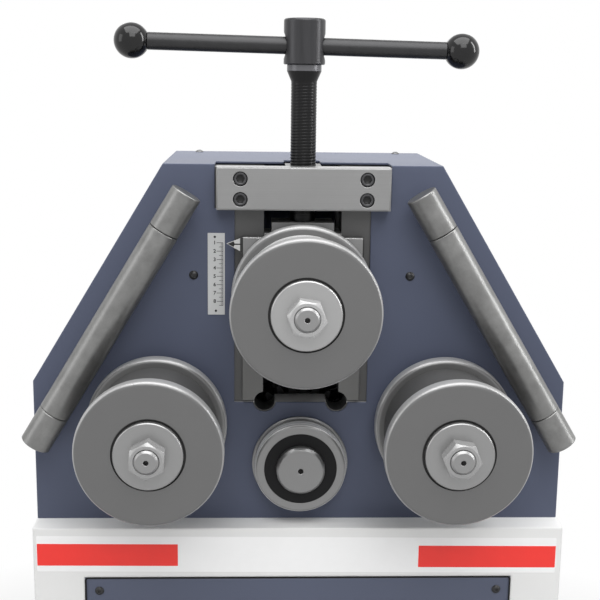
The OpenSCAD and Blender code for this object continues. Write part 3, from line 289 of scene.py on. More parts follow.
def ground_steel(name, colour, edge, grain=(4.0, 300.0, 1400.0), roughness=0.4, metal=0.8,
                 edge_wear_and_highlight=2.1, bare_and_painted_light=None, painted_shade_behind=None, sides=None):
    """Ground steel: grain stretched along one axis and edges painted brighter, partly as wear and
    partly as a painted highlight. Where bare gives a height, that level face is painted bright,
    partly as a machined face and partly as painted light; where dull gives a depth, everything
    behind that is painted darker as painted shade; and beyond the half width sides its edges are
    painted dark as painted shade."""
    f = Finish(name)
    rounded, rim = f.soft_edge(edge)
    lines = f.noise(1.0, 4.0, 0.6, f.stretch(grain))
    cloud = f.noise(24.0, 3.0)
    tone = f.mix(lines * 0.6 + cloud * 0.4, shade(colour, 0.86), shade(colour, 1.12))
    # The slot's level bottom face painted bright: partly a machined face, partly painted light
    if bare_and_painted_light:
        off = (f.axes()[2] - bare_and_painted_light).math("ABSOLUTE")
        tone = f.mix(1.0 - off.clip(0.0002, 0.0006), tone, shade(colour, 6.5))
    # Edges painted brighter: partly wear, partly a painted highlight
    tone = f.mix(rim * 0.8, tone, shade(colour, edge_wear_and_highlight))
    # Edges beyond the half width painted dark: painted shade
    if sides:
        tone = f.mix(f.axes()[0].math("ABSOLUTE").clip(sides - 0.0003, sides + 0.0003), tone,
                     shade(colour, 0.12))
    # Everything behind the given depth painted darker: painted shade
    if painted_shade_behind:
        tone = f.mix(f.axes()[1].clip(painted_shade_behind - 0.0005, painted_shade_behind + 0.0015), tone, shade(colour, 0.34))
    return f.surface(Base_Color=tone, Metallic=metal, Roughness=roughness + (lines - 0.5) * 0.14,
                     Normal=f.bump(lines, 0.00003, rounded))


def rolled_steel(name, colour, edge, roughness):
    """Cold-rolled bar, matt and mottled by handling, with edges painted paler, partly as wear and
    partly as a painted highlight.
    """
    f = Finish(name)
    rounded, rim = f.soft_edge(edge)
    cloud = f.noise(42.0, 5.0, 0.68)
    fine = f.noise(900.0, 2.0)
    stain = f.noise(11.0, 4.0, 0.6).clip(0.35, 0.68)
    tone = f.mix(cloud.clip(0.3, 0.7), shade(colour, 0.78), shade(colour, 1.2))
    tone = f.mix(stain * 0.5, tone, shade(colour, 0.72))
    # Edges painted paler: partly wear, partly a painted highlight
    tone = f.mix(rim * 0.7, tone, shade(colour, 2.2))
    return f.surface(Base_Color=tone, Metallic=0.8, Roughness=roughness + (cloud - 0.5) * 0.2,
                     Normal=f.bump(fine, 0.00003, rounded))


def turned_steel(name, colour, edge, centre, roughness=0.44, rings=RING_SCALE, edge_wear_and_highlight=2.4,
                 wear_and_highlight=None, metal=0.75, painted_shade_radius=None):
    """Turned steel: fine rings round the piece's own axis and edges painted bright, partly as wear
    and partly as a painted highlight. Where worn gives three radii, the rim is smoother beyond the
    first and painted pale from the second to the third, partly as scuffing and partly as a painted
    highlight, and inside the radius pit the recess is painted dark as painted shade."""
    f = Finish(name)
    rounded, rim = f.soft_edge(edge)
    out = f.radius(*centre)
    ring = f.rings(out, rings)
    cloud = f.noise(18.0, 3.0)
    tone = f.mix(ring * 0.4 + cloud * 0.6, shade(colour, 0.93), shade(colour, 1.07))
    gloss, shine = cloud * 0.1, metal
    if wear_and_highlight:
        # The rim's outer part painted pale: partly scuffing, partly a painted highlight
        scuff_and_highlight = out.clip(*wear_and_highlight[1:])
        tone = f.mix(scuff_and_highlight, tone, shade(colour, 2.4))
        gloss = gloss - out.clip(wear_and_highlight[0], wear_and_highlight[0] + 0.002) * 0.14
        shine = metal - scuff_and_highlight * 0.5
    # Edges painted bright: partly wear, partly a painted highlight
    tone = f.mix(rim * 0.6, tone, shade(colour, edge_wear_and_highlight))
    # Inside the washer's recess the steel is painted dark: painted shade
    if painted_shade_radius:
        outside_painted_shade = out.clip(painted_shade_radius - 0.0003, painted_shade_radius + 0.0002)
        tone = f.mix(outside_painted_shade, shade(colour, 0.1), tone)
        shine = outside_painted_shade * shine
    return f.surface(Base_Color=tone, Metallic=shine, Roughness=gloss + (roughness - 0.05),
                     Normal=f.bump(ring, 0.00002, rounded))


def centre_steel(name, colour, edge, centre, side):
    """The centre roller: turned faces, and a side, beyond the radius side, painted brighter in
    bands whose tone follows the depth, partly as the bars' polish and partly as a painted
    reflection;
    its edges are painted paler as a painted highlight."""
    f = Finish(name)
    rounded, rim = f.soft_edge(edge)
    out = f.radius(*centre)
    ring = f.rings(out, RING_SCALE)
    band = f.rings(f.axes()[1], 210.0, 4.0)
    tone = f.mix(ring, shade(colour, 0.93), shade(colour, 1.07))
    # The side is painted brighter in bands: partly polish, partly a painted reflection
    wall = out.clip(side - 0.0004, side)
    tone = f.mix(wall, tone, f.mix(band.clip(0.35, 0.65), shade(colour, 1.7), shade(colour, 4.0)))
    # Edges painted paler: a painted highlight
    tone = f.mix(rim * 0.25, tone, shade(colour, 2.0))
    return f.surface(Base_Color=tone, Metallic=0.7 - wall * 0.45, Roughness=0.4 - wall * 0.08,
                     Normal=f.bump(ring, 0.00002, rounded))


def knurled_steel(name, colour, edge, centre, pitch):
    """Knurled drum: two crossing sets of ridges in the angle and the depth."""
    f = Finish(name)
    rounded, rim = f.soft_edge(edge)
    px, py, pz = f.axes()
    angle = (px - centre[0]).math("ARCTAN2", pz - centre[1])
    along = angle * centre[2]
    left = ((along + py) * (2 * math.pi / pitch)).math("SINE")
    right = ((along - py) * (2 * math.pi / pitch)).math("SINE")
    ridge = (left * right) * 0.5 + 0.5
    cloud = f.noise(30.0, 3.0)
    tone = f.mix(ridge * 0.7 + cloud * 0.3, shade(colour, 0.6), shade(colour, 1.35))
    # Edges painted paler: a painted highlight
    tone = f.mix(rim * 0.5, tone, shade(colour, 1.6))
    return f.surface(Base_Color=tone, Metallic=0.2, Roughness=0.55 + (cloud - 0.5) * 0.1,
                     Normal=f.bump(ridge, 0.0002, rounded))


def black_oxide(name, colour, edge, roughness=0.36, bare_and_painted_light=None, high=None):
    """Oiled black oxide: mottled, with thin edges painted pale, partly as wear and partly as a
    painted highlight. Where bare gives a depth, the face there is rubbed paler and the socket
    behind it is painted dark as painted shade, and where high gives a height, everything above
    that is painted pale as painted light."""
    f = Finish(name)
    rounded, rim = f.soft_edge(edge)
    cloud = f.noise(60.0, 4.0, 0.6)
    tone = f.mix(cloud, shade(colour, 0.75), shade(colour, 1.3))
    metal = 0.6
    # The face at the given depth rubbed paler, and the socket behind it painted dark: painted
    # shade
    if bare_and_painted_light:
        deep = f.axes()[1] - bare_and_painted_light
        tone = f.mix(1.0 - deep.math("ABSOLUTE").clip(0.0003, 0.0009), tone, shade(colour, 4.0))
        tone = f.mix(deep.clip(0.0008, 0.0018), tone, shade(colour, 0.12))
        metal = 0.6 - deep.clip(0.0008, 0.0018) * 0.6
    # Everything above the given height painted pale: painted light
    if high:
        tone = f.mix(f.axes()[2].clip(high, high + 0.001), tone, shade(colour, 5.0))
    # Edges painted pale: partly wear, partly a painted highlight
    tone = f.mix(rim * 0.5, tone, shade(colour, 3.5))
    return f.surface(Base_Color=tone, Metallic=metal, Roughness=roughness + (cloud - 0.5) * 0.18,
                     Normal=f.bump(cloud, 0.00005, rounded))


def screw_black(name, colour, edge, ring, hub):
    """Oiled black oxide on the screw: rubbed down to the steel in the collar between the two
    heights of ring, and painted greyer on the hub, which starts at the height hub, partly as its
    own tone and partly as a painted highlight; its edges are painted pale, partly as wear and
    partly as a painted highlight."""
    f = Finish(name)
    rounded, rim = f.soft_edge(edge)
    cloud = f.noise(60.0, 4.0, 0.6)
    streak = f.noise(1.0, 3.0, 0.6, f.stretch((260.0, 260.0, 14.0)))
    height = f.axes()[2]
    tone = f.mix(cloud * 0.5 + streak * 0.5, shade(colour, 0.7), shade(colour, 1.3))
    # The hub painted greyer: partly its own tone, partly a painted highlight
    over = height.clip(hub - 0.0002, hub + 0.0002)
    tone = f.mix(over, tone, f.mix(streak, shade(colour, 3.8), shade(colour, 7.4)))
    above, beyond = [height.clip(end - 0.0003, end + 0.0003) for end in ring]
    collar = above - beyond
    tone = f.mix(collar, tone, shade(colour, 17.0))
    # Edges painted pale: partly wear, partly a painted highlight
    tone = f.mix(rim * 0.5, tone, shade(colour, 6.0))
    return f.surface(Base_Color=tone, Metallic=0.6, Roughness=0.34 + (cloud - 0.5) * 0.15,
                     Normal=f.bump(cloud, 0.00004, rounded))


def moulded(name, colour, roughness, grain=400.0, depth=0.00003, gloss=0.3):
    """Moulded plastic or rubber with a fine grain."""
    f = Finish(name)
    cloud = f.noise(grain, 2.0)
    soft = f.noise(20.0, 2.0)
    tone = f.mix(soft, shade(colour, 0.85), shade(colour, 1.15))
    return f.surface(Base_Color=tone, Roughness=roughness + (soft - 0.5) * 0.05,
                     Normal=f.bump(cloud, depth), Specular_IOR_Level=gloss)


def printed(name, colour, roughness, painted_shadow_x=None):
    """Printed or filmed surface with a faint unevenness, and painted black where x passes root,
    as a painted shadow.
    """
    f = Finish(name)
    soft = f.noise(45.0, 3.0)
    tone = f.mix(soft, shade(colour, 0.94), shade(colour, 1.04))
    # Past the given x the surface is painted black: a painted shadow
    if painted_shadow_x:
        tone = f.mix(f.axes()[0].clip(painted_shadow_x - 0.0002, painted_shadow_x + 0.0002), tone, shade(colour, 0.05))
    return f.surface(Base_Color=tone, Roughness=roughness + (soft - 0.5) * 0.08,
                     Normal=f.bump(soft, 0.00003))


def pressed_panel(name, colour, edge, half, low, high, fall):
    """Powder-coated panel whose border is pressed back: the nearest distance to the
    border, from 0 to fall, is the height of its bump."""
    f = Finish(name)
    rounded, rim = f.soft_edge(edge)
    px, _, pz = f.axes()
    inside = (half - px.math("ABSOLUTE")).math("MINIMUM", high - pz).math("MINIMUM", pz - low)
    press = f.add("ShaderNodeMapRange", {"interpolation_type": "SMOOTHSTEP"},
                  {"Value": inside, "From Min": 0.0, "From Max": fall})
    cloud = f.noise(7.0, 3.0)
    peel = f.noise(900.0, 2.0)
    tone = f.mix(cloud, shade(colour, 0.95), shade(colour, 1.05))
    # Edges painted paler: a painted highlight
    tone = f.mix(rim * 0.35, tone, shade(colour, 1.7))
    return f.surface(Base_Color=tone, Roughness=0.42 + (cloud - 0.5) * 0.08,
                     Normal=f.bump(press, 0.0016, f.bump(peel, 0.00006, rounded)),
                     Specular_IOR_Level=0.35)


def cast(name, colour):
    """Painted casting: coarse skin."""
    f = Finish(name)
    grain = f.noise(260.0, 3.0)
    cloud = f.noise(12.0, 3.0)
    tone = f.mix(cloud, shade(colour, 0.85), shade(colour, 1.15))
    return f.surface(Base_Color=tone, Roughness=0.6 + (cloud - 0.5) * 0.1,
                     Normal=f.bump(grain, 0.0002))


# ---------------------------------------------------------------- shapes

def at(x, h, f):
    """Places in the head's frame, in millimetres, as metres in the machine's."""
    x, h, f = np.broadcast_arrays(*[np.asarray(v, float) for v in (x, h, f)])
    return np.stack([x * MM, FACE_Y - f * MM, DECK_Z + h * MM], axis=-1)


def piece(name, points, faces, material, body, slot, sharp=35.0):
    """Makes an object of points and faces, turned outwards if its volume is
    negative: the sum of v0 . (v1 x v2) / 6 over its triangles."""
    points = np.asarray(points, float).reshape(-1, 3)
    centred = points - points.mean(0)
    volume = 0.0
    for face in faces:
        corners = centred[face]
        for i in range(1, face.shape[1] - 1):
            volume += np.einsum("ij,ij->", corners[:, 0],
                                np.cross(corners[:, i], corners[:, i + 1]))
    if volume < 0:
        faces = [face[:, ::-1] for face in faces]
    mesh = bpy.data.meshes.new(name)
    mesh.from_pydata(points.tolist(), [], [row for face in faces for row in face.tolist()])
    mesh.shade_smooth()
    mesh.set_sharp_from_angle(angle=math.radians(sharp))
    mesh.materials.append(material)
    obj = bpy.data.objects.new(name, mesh)
    bpy.context.scene.collection.objects.link(obj)
    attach(obj, body)
    return obj


def tube_faces(rows, columns):
    """Quads between rows of a closed ring, and the fans that close its two ends.
    The two pole points follow the grid's own points."""
    r, c = np.meshgrid(np.arange(rows - 1), np.arange(columns), indexing="ij")
    n = (c + 1) % columns
    quads = np.stack([r * columns + c, r * columns + n, (r + 1) * columns + n,
                      (r + 1) * columns + c], axis=-1).reshape(-1, 4)
    c = np.arange(columns)
    n = (c + 1) % columns
    low, high = rows * columns, rows * columns + 1
    top = (rows - 1) * columns
    ends = np.concatenate([np.stack([np.full(columns, low), n, c], -1),
                           np.stack([np.full(columns, high), top + c, top + n], -1)])
    return [quads, ends]


def ring_solid(rings, poles):
    """A closed skin through rings of points, rows by columns by three, and its poles."""
    rows, columns = rings.shape[:2]
    return (np.concatenate([rings.reshape(-1, 3), np.asarray(poles).reshape(2, 3)]),
            tube_faces(rows, columns))


def tile(outline, f0, f1, bevel):
    """A thin plate whose outline is given by x and h: the outline at the back, at the
    front less the bevel, and drawn in by the bevel at the front, with both ends closed."""
    x, h = np.asarray(outline, float).T
    cx, ch = x.mean(), h.mean()
    reach = np.hypot(x - cx, h - ch)
    nx, nh = cx + (x - cx) * (1 - bevel / reach), ch + (h - ch) * (1 - bevel / reach)
    rings = np.stack([at(x, h, f0), at(x, h, f1 - bevel), at(nx, nh, f1)])
    return ring_solid(rings, [at(cx, ch, f0), at(cx, ch, f1)])


def rounded_bar(x0, x1, h0, h1, r, steps=6):
    """Outline of a rectangle with round corners: four quarter arcs end to end."""
    a = np.linspace(0, math.pi / 2, steps)
    corners = [(x1 - r, h1 - r, 0), (x0 + r, h1 - r, 1), (x0 + r, h0 + r, 2), (x1 - r, h0 + r, 3)]
    return np.concatenate([np.stack([cx + r * np.cos(a + q * math.pi / 2),
                                     ch + r * np.sin(a + q * math.pi / 2)], -1)
                           for cx, ch, q in corners])


def frame_strip(outer, inner, f0, f1, bevel):
    """A closed strip between two outlines with as many points: the section's corners
    at the back, the two sides and the front, carried along both outlines."""
    (xo, ho), (xi, hi) = np.asarray(outer, float).T, np.asarray(inner, float).T
    share = bevel / np.hypot(xo - xi, ho - hi)
    xa, ha = xo + (xi - xo) * share, ho + (hi - ho) * share
    xb, hb = xi + (xo - xi) * share, hi + (ho - hi) * share
    rings = np.stack([at(xo, ho, f0), at(xo, ho, f1 - bevel), at(xa, ha, f1), at(xb, hb, f1),
                      at(xi, hi, f1 - bevel), at(xi, hi, f0)])
    rows, columns = rings.shape[:2]
    r, c = np.meshgrid(np.arange(rows), np.arange(columns), indexing="ij")
    n, up = (c + 1) % columns, (r + 1) % rows
    return rings.reshape(-1, 3), [np.stack([r * columns + c, r * columns + n, up * columns + n,
                                            up * columns + c], axis=-1).reshape(-1, 4)]


def joined(solids):
    """Several skins as one list of points and faces."""
    points, faces, count = [], [], 0
    for p, fs in solids:
        points.append(p)
        faces += [face + count for face in fs]
        count += len(p)
    return np.concatenate(points), faces


# ---------------------------------------------------------------- operators

MATERIALS = {}


def world_centre(x, h):
    """A centre in millimetres as metres across and up in the machine's frame."""
    return x * MM, DECK_Z + h * MM


class RINGROLLER_OT_finishes(bpy.types.Operator):
    """Give every CAD node its finish"""
    bl_idname = "ringroller.finishes"
    bl_label = "Finishes"

    def execute(self, context):
        colours = context.scene.ringroller_colours
        edge = context.scene.ringroller_sizes.edge_radius
        blue, white, roll, bright, black = (tuple(getattr(colours, k)) for k in
                                            ("blue", "white", "roll", "bright", "black"))
        made = MATERIALS
        made["blue"] = powder_coat("blue_powder_coat", blue, edge * 2.4, 0.48, 0.26)
        made["white"] = powder_coat("white_powder_coat", white, edge * 4.5, 0.5)
        made["panel"] = pressed_panel("panel_powder_coat", blue, edge, PANEL_SIDE * MM,
                                      DECK_Z + PANEL_LOW * MM, DECK_Z + PANEL_TOP * MM,
                                      fall=0.0045)
        # The front plate's slot bottom face is painted bright as painted light
        made["frame"] = ground_steel("frame_steel", linear(93, 93, 93), edge,
                                     (300.0, 300.0, 300.0), 0.5, 0.6, bare_and_painted_light=DECK_Z + SLOT_LOW * MM)
        made["slide"] = ground_steel("slide_steel", linear(128, 128, 128), edge,
                                     (200.0, 200.0, 200.0), 0.5, 0.6)
        # The crossbar's part behind the cover's face is painted darker as painted shade
        made["bar"] = ground_steel("bar_steel", bright, edge * 1.2, edge_wear_and_highlight=1.3,
                                   painted_shade_behind=FACE_Y - 3.0 * MM)
        # The flange's side edges are painted dark as painted shade
        made["flange"] = ground_steel("flange_steel", linear(140, 140, 140), edge * 1.8,
                                      edge_wear_and_highlight=2.6, sides=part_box("slide_flange")[1].x - 0.0012)
        made["strip"] = ground_steel("strip_steel", linear(112, 112, 111), edge,
                                     (900.0, 300.0, 5.0), 0.5, 0.6)
        made["bright"] = ground_steel("bright_steel", linear(172, 172, 171), edge * 0.6,
                                      (60.0, 60.0, 60.0), 0.34)
        made["guide"] = rolled_steel("guide_steel", linear(130, 130, 129), edge, 0.37)
        made["oxide"] = black_oxide("black_oxide", black, edge * 0.7)
        # The cover screws on the head's top are painted pale as painted light
        made["studs"] = black_oxide("stud_black", black, edge * 0.7, high=DECK_Z + HEAD_H * MM)
        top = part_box("pressure_screw")[1].z
        made["screw"] = screw_black("screw_black", linear(21, 21, 22), edge * 0.6,
                                    (top - COLLAR_LOW * MM, top - COLLAR_TOP * MM),
                                    top - HUB_LOW * MM)
        # The socket screws' sockets are painted dark as painted shade
        made["socket"] = black_oxide("socket_black", linear(34, 34, 35), edge * 0.3, 0.45,
                                     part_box("crossbar_screws")[0].y)
        made["ball"] = moulded("ball_plastic", linear(12, 12, 13), 0.13, 300.0, 0.00001, 0.4)
        made["seal"] = moulded("seal_rubber", linear(20, 20, 21), 0.6, gloss=0.2)
        made["bronze"] = ground_steel("bronze", linear(176, 140, 84), edge, (80.0, 80.0, 80.0))
        made["cast"] = cast("dark_casting", linear(58, 60, 63))
        made["rubber"] = moulded("foot_paint", linear(28, 28, 29), 0.5)
        made["gear"] = black_oxide("greased_gear", linear(26, 26, 27), edge, 0.4)
        made["plate"] = printed("scale_aluminium", linear(199, 200, 200), 0.42)
        # The pointer's end at its plate is painted black as a painted shadow
        made["pointer"] = printed("pointer_white", linear(196, 196, 195), 0.4,
                                  POINTER_ROOT * MM)
        for side, (x, h) in ROLLS.items():
            c = world_centre(x, h)
            # Each roll's rim is painted pale, partly as a painted highlight, and its washer's
            # recess dark as painted shade
            made[side] = turned_steel(side + "_roll_steel", roll, edge, c,
                                      wear_and_highlight=[r * MM for r in RIM_WEAR_AND_HIGHLIGHT], painted_shade_radius=RECESS_R * MM)
            # The upper roll's washers and nuts are painted lighter than the lower rolls' ones:
            # painted light
            level = 166 if side == "upper" else 148
            fine = linear(level, level, level)
            made[side + "_fine"] = turned_steel(side + "_washer_steel", fine,
                                                edge * 0.4, c, 0.34, 4200.0, 1.3)
            made[side + "_nut"] = turned_steel(side + "_nut_steel", shade(fine, 1.15),
                                               edge * 0.9, c, 0.26, 4200.0, 1.9, metal=0.45)
            made[side + "_end"] = turned_steel(side + "_shaft_steel", linear(145, 145, 145),
                                               edge * 1.2, c, 0.34, 4200.0, 1.8)
            # The upper drum is plain and lighter, the lower ones knurled and darker: partly their
            # own tone, partly painted light and shade
            level, pitch = (204, 0.0005) if side == "upper" else (75, 0.0022)
            made[side + "_drum"] = knurled_steel(side + "_drum_steel", linear(level, level, level),
                                                 edge * 0.5, (*c, DRUM_R * MM), pitch)
        c = world_centre(*CENTRE)
        made["centre"] = centre_steel("centre_roller_steel", linear(136, 136, 136), edge * 1.2,
                                      c, CENTRE_SIDE_R * MM)
        made["axle"] = turned_steel("centre_axle_steel", linear(134, 134, 134), edge * 3.0,
                                    c, 0.3, edge_wear_and_highlight=1.7)
        table = {
            "white": ["cabinet_shell"], "rubber": ["base_feet"],
            "blue": ["vent_panel", "head_cover", "rear_cover", "motor"],
            "panel": ["service_panel"], "studs": ["cover_screws"],
            "oxide": ["tie_bolts", "crossbar_screws", "tommy_bar", "pressure_screw"],
            "frame": ["front_plate", "rear_plate", "spacers"],
            "slide": ["slide_carriage", "foot_keeper"], "bar": ["crossbar"],
            "flange": ["slide_flange"], "strip": ["guide_strips"],
            "bright": ["lower_bearings", "upper_bearings", "guide_axles", "centre_race",
                       "upper_key", "left_key", "right_key"],
            "guide": ["guide_end_blocks", "left_sleeve", "right_sleeve"],
            "bronze": ["screw_nut", "thrust_pad"], "cast": ["gearbox"],
            "ball": ["ball_knobs"], "seal": ["centre_seals"], "plate": ["scale_plate"],
            "pointer": ["pointer"], "centre": ["centre_roller"], "axle": ["centre_axle"],
            "gear": ["left_gear", "right_gear", "drive_pinion"]}
        for side in ROLLS:
            table[side] = [side + "_back_disc", side + "_front_disc"]
            table[side + "_fine"] = [side + "_washer"]
            table[side + "_nut"] = [side + "_nuts"]
            table[side + "_end"] = [side + "_shaft"]
            table[side + "_drum"] = [side + "_drum"]
        given = {node: key for key, nodes in table.items() for node in nodes}
        if set(given) != set(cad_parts):
            raise RuntimeError(f"nodes with no finish: {set(given) ^ set(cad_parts)}")
        for node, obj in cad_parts.items():
            obj.data.materials.clear()
            obj.data.materials.append(made[given[node]])
        return {"FINISHED"}


def sunk_hub(radius, h, t, centre, tilt, bore, mouth):
    """The hub's radius where the bar's hole opens in a 45-degree countersink: the reach
    along the hole's axis may be no more than the cone's, which is mouth's depth less the
    distance from the cone's rim. Found by halving the span of radii thirty times."""
    floor = radius - (mouth - bore)
    low, high = np.full(h.shape, bore), np.full(h.shape, radius)
    for _ in range(30):
        mid = (low + high) / 2
        x, f, up = mid * np.cos(t), mid * np.sin(t), h - centre
        side = np.sign(x)
        along = np.abs(x * math.cos(tilt) - up * math.sin(tilt))
        off = np.hypot(f, up * math.cos(tilt) + x * math.sin(tilt))
        inside = along <= floor + np.maximum(off - bore, 0) * np.abs(side)
        low, high = np.where(inside, mid, low), np.where(inside, high, mid)
    return np.where(low > radius - 0.001, radius, low)


class RINGROLLER_OT_screw(bpy.types.Operator):
    """Add the pressure screw with its thread"""
    bl_idname = "ringroller.screw"
    bl_label = "Pressure screw"

    def execute(self, context):
        sizes = context.scene.ringroller_sizes
        pitch, depth = sizes.screw_pitch / MM, sizes.thread_depth / MM
        low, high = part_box("pressure_screw")
        foot, top = (low.z - DECK_Z) / MM, (high.z - DECK_Z) / MM
        columns, major, throat, rounding = 96, 15.0, 11.0, 3.0
        # The foot's groove, the thread's two ends, and the collar's and hub's undersides
        groove_low, groove_top = foot + 8.7, foot + 15.3
        start, stop = top - 228.0, top - 71.5
        neck, under = top - 59.0, top - 52.0
        below = [(foot, major - 1), (foot + 1, major), (groove_low, major), (groove_low, throat),
                 (groove_top, throat), (groove_top, major), (start - 1, major)]
        above = [(stop + 0.5, major), (neck - 0.5, COLLAR_R), (neck, COLLAR_R),
                 (under - 0.4, COLLAR_R), (under, COLLAR_R - 0.4), (under, HUB_R - 1),
                 (under + 1, HUB_R)]
        above += [(z, HUB_R) for z in np.arange(under + 2, top - rounding - 0.5, 0.8)]
        a = np.linspace(0, math.pi / 2, 7)
        above += list(zip(top - rounding * (1 - np.sin(a)), HUB_R - rounding * (1 - np.cos(a))))
        height = np.concatenate([[z for z, _ in below], np.arange(start, stop, pitch / 10),
                                 [z for z, _ in above]])
        radius = np.concatenate([[r for _, r in below],
                                 np.full(len(height) - len(below) - len(above), major),
                                 [r for _, r in above]])
        turn = np.linspace(0, 2 * math.pi, columns, endpoint=False)
        h, t = np.meshgrid(height, turn, indexing="ij")
        # A right-hand groove: its phase climbs one pitch in a turn, it is cut where the
        # wave is near one, and it fades out at both ends
        wave = np.abs(((h / pitch - t / (2 * math.pi)) % 1.0) * 2 - 1)
        fade = np.clip((h - start) / pitch, 0, 1) * np.clip((stop - h) / pitch, 0, 1)
        r = radius[:, None] - depth * fade * np.clip((wave - 0.5) * 3.2, 0, 1)
        hub = (h > under + 1.5) & (h < top - rounding - 0.2)
        r = np.where(hub, sunk_hub(HUB_R, h, t, BAR_H, BAR_TILT, BAR_HOLE_R, BAR_MOUTH_R), r)
        rings = at(r * np.cos(t), h, SCREW_F - r * np.sin(t))
        points, faces = ring_solid(rings, [at(0, foot, SCREW_F), at(0, top, SCREW_F)])
        screw = piece("pressure_screw_threaded", points, faces, MATERIALS["screw"], "screw",
                      "black_oxide")
        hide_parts("pressure_screw")
        return {"FINISHED"}


class RINGROLLER_OT_stripes(bpy.types.Operator):
    """Add the white film on the cabinet's band and its two red stripes"""
    bl_idname = "ringroller.stripes"
    bl_label = "Stripes"

    def execute(self, context):
        tall = context.scene.ringroller_sizes.stripe_height / MM
        paper = printed("band_film", linear(254, 254, 254), 0.35)
        film = printed("stripe_film", tuple(context.scene.ringroller_colours.red), 0.35)
        # The film was laid on by hand: it falls to the right by this share of its length
        lean = 0.0065
        for name, x0, x1, high, deep, front, material in (
                ("band_film", -316.0, 313.5, -11.3, 45.2, 0.16, paper),
                ("stripe_left", -315.6, -147.0, -21.2, tall, 0.3, film),
                ("stripe_right", 144.8, 313.1, -21.8, tall, 0.3, film)):
            outline = rounded_bar(x0, x1, high - deep, high, 1.5 if deep > tall else 0.5)
            outline[:, 1] -= lean * outline[:, 0]
            points, faces = tile(outline, LEDGE, LEDGE + front, 0.06)
            piece(name, points, faces, material, "machine", "cabinet_white")
        return {"FINISHED"}


class RINGROLLER_OT_panel_trim(bpy.types.Operator):
    """Add the black rubber edging round the service panel"""
    bl_idname = "ringroller.panel_trim"
    bl_label = "Panel edging"

    def execute(self, context):
        rubber = moulded("edging_rubber", linear(16, 16, 18), 0.55, gloss=0.25)
        outer, inner = [rounded_bar(-PANEL_SIDE - past, PANEL_SIDE + past, PANEL_LOW - past,
                                    PANEL_TOP + past, corner, 10)
                        for past, corner in ((0.5, 4.5), (-1.7, 2.3))]
        points, faces = frame_strip(outer, inner, LEDGE - 0.1, LEDGE + 0.5, 0.3)
        piece("panel_edging", points, faces, rubber, "machine", "seal_black")
        return {"FINISHED"}


class RINGROLLER_OT_bar_screws(bpy.types.Operator):
    """Add the crossbar's four socket screws with knurled heads"""
    bl_idname = "ringroller.bar_screws"
    bl_label = "Crossbar screws"

    def execute(self, context):
        low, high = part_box("crossbar_screws")
        reach, rise = (high.x - low.x) / MM, (high.z - low.z) / MM
        front, back = (FACE_Y - low.y) / MM, (FACE_Y - high.y) / MM
        mid = ((high.z + low.z) / 2 - DECK_Z) / MM
        head, socket, shank = 16.0, 8.0, 10.0
        t = np.linspace(0, 2 * math.pi, 96, endpoint=False)
        hexagon = socket / 2 / np.cos((t % (math.pi / 3)) - math.pi / 6)
        knurl = head / 2 - 0.12 + 0.12 * np.cos(48 * t)
        one = np.ones_like(t)
        # Radius and depth of each ring, from the shank's end round the head into the socket
        rows = [(shank / 2 * one, back), (shank / 2 * one, front - 10), (knurl, front - 10),
                (knurl, front - 1.6), ((head / 2 - 0.5) * one, front - 0.5),
                ((head / 2 - 1.3) * one, front - 0.06), ((head / 2 - 1.5) * one, front),
                ((socket / 2 + 1.5) * one, front), ((socket / 2 + 1.3) * one, front - 0.1),
                (hexagon + 0.05, front - 0.95), (hexagon, front - 1.1), (hexagon, front - 5)]
        made = []
        for x in (-1, 1):
            for up in (-1, 1):
                cx, ch = x * (reach - head) / 2, mid + up * (rise - head) / 2
                rings = np.stack([at(cx + r * np.cos(t), ch + r * np.sin(t), f) for r, f in rows])
                made.append(ring_solid(rings, [at(cx, ch, back), at(cx, ch, front - 6.5)]))
        screws = piece("crossbar_socket_screws", *joined(made), MATERIALS["socket"], "machine",
                       "black_oxide", 28.0)
        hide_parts("crossbar_screws")
        return {"FINISHED"}


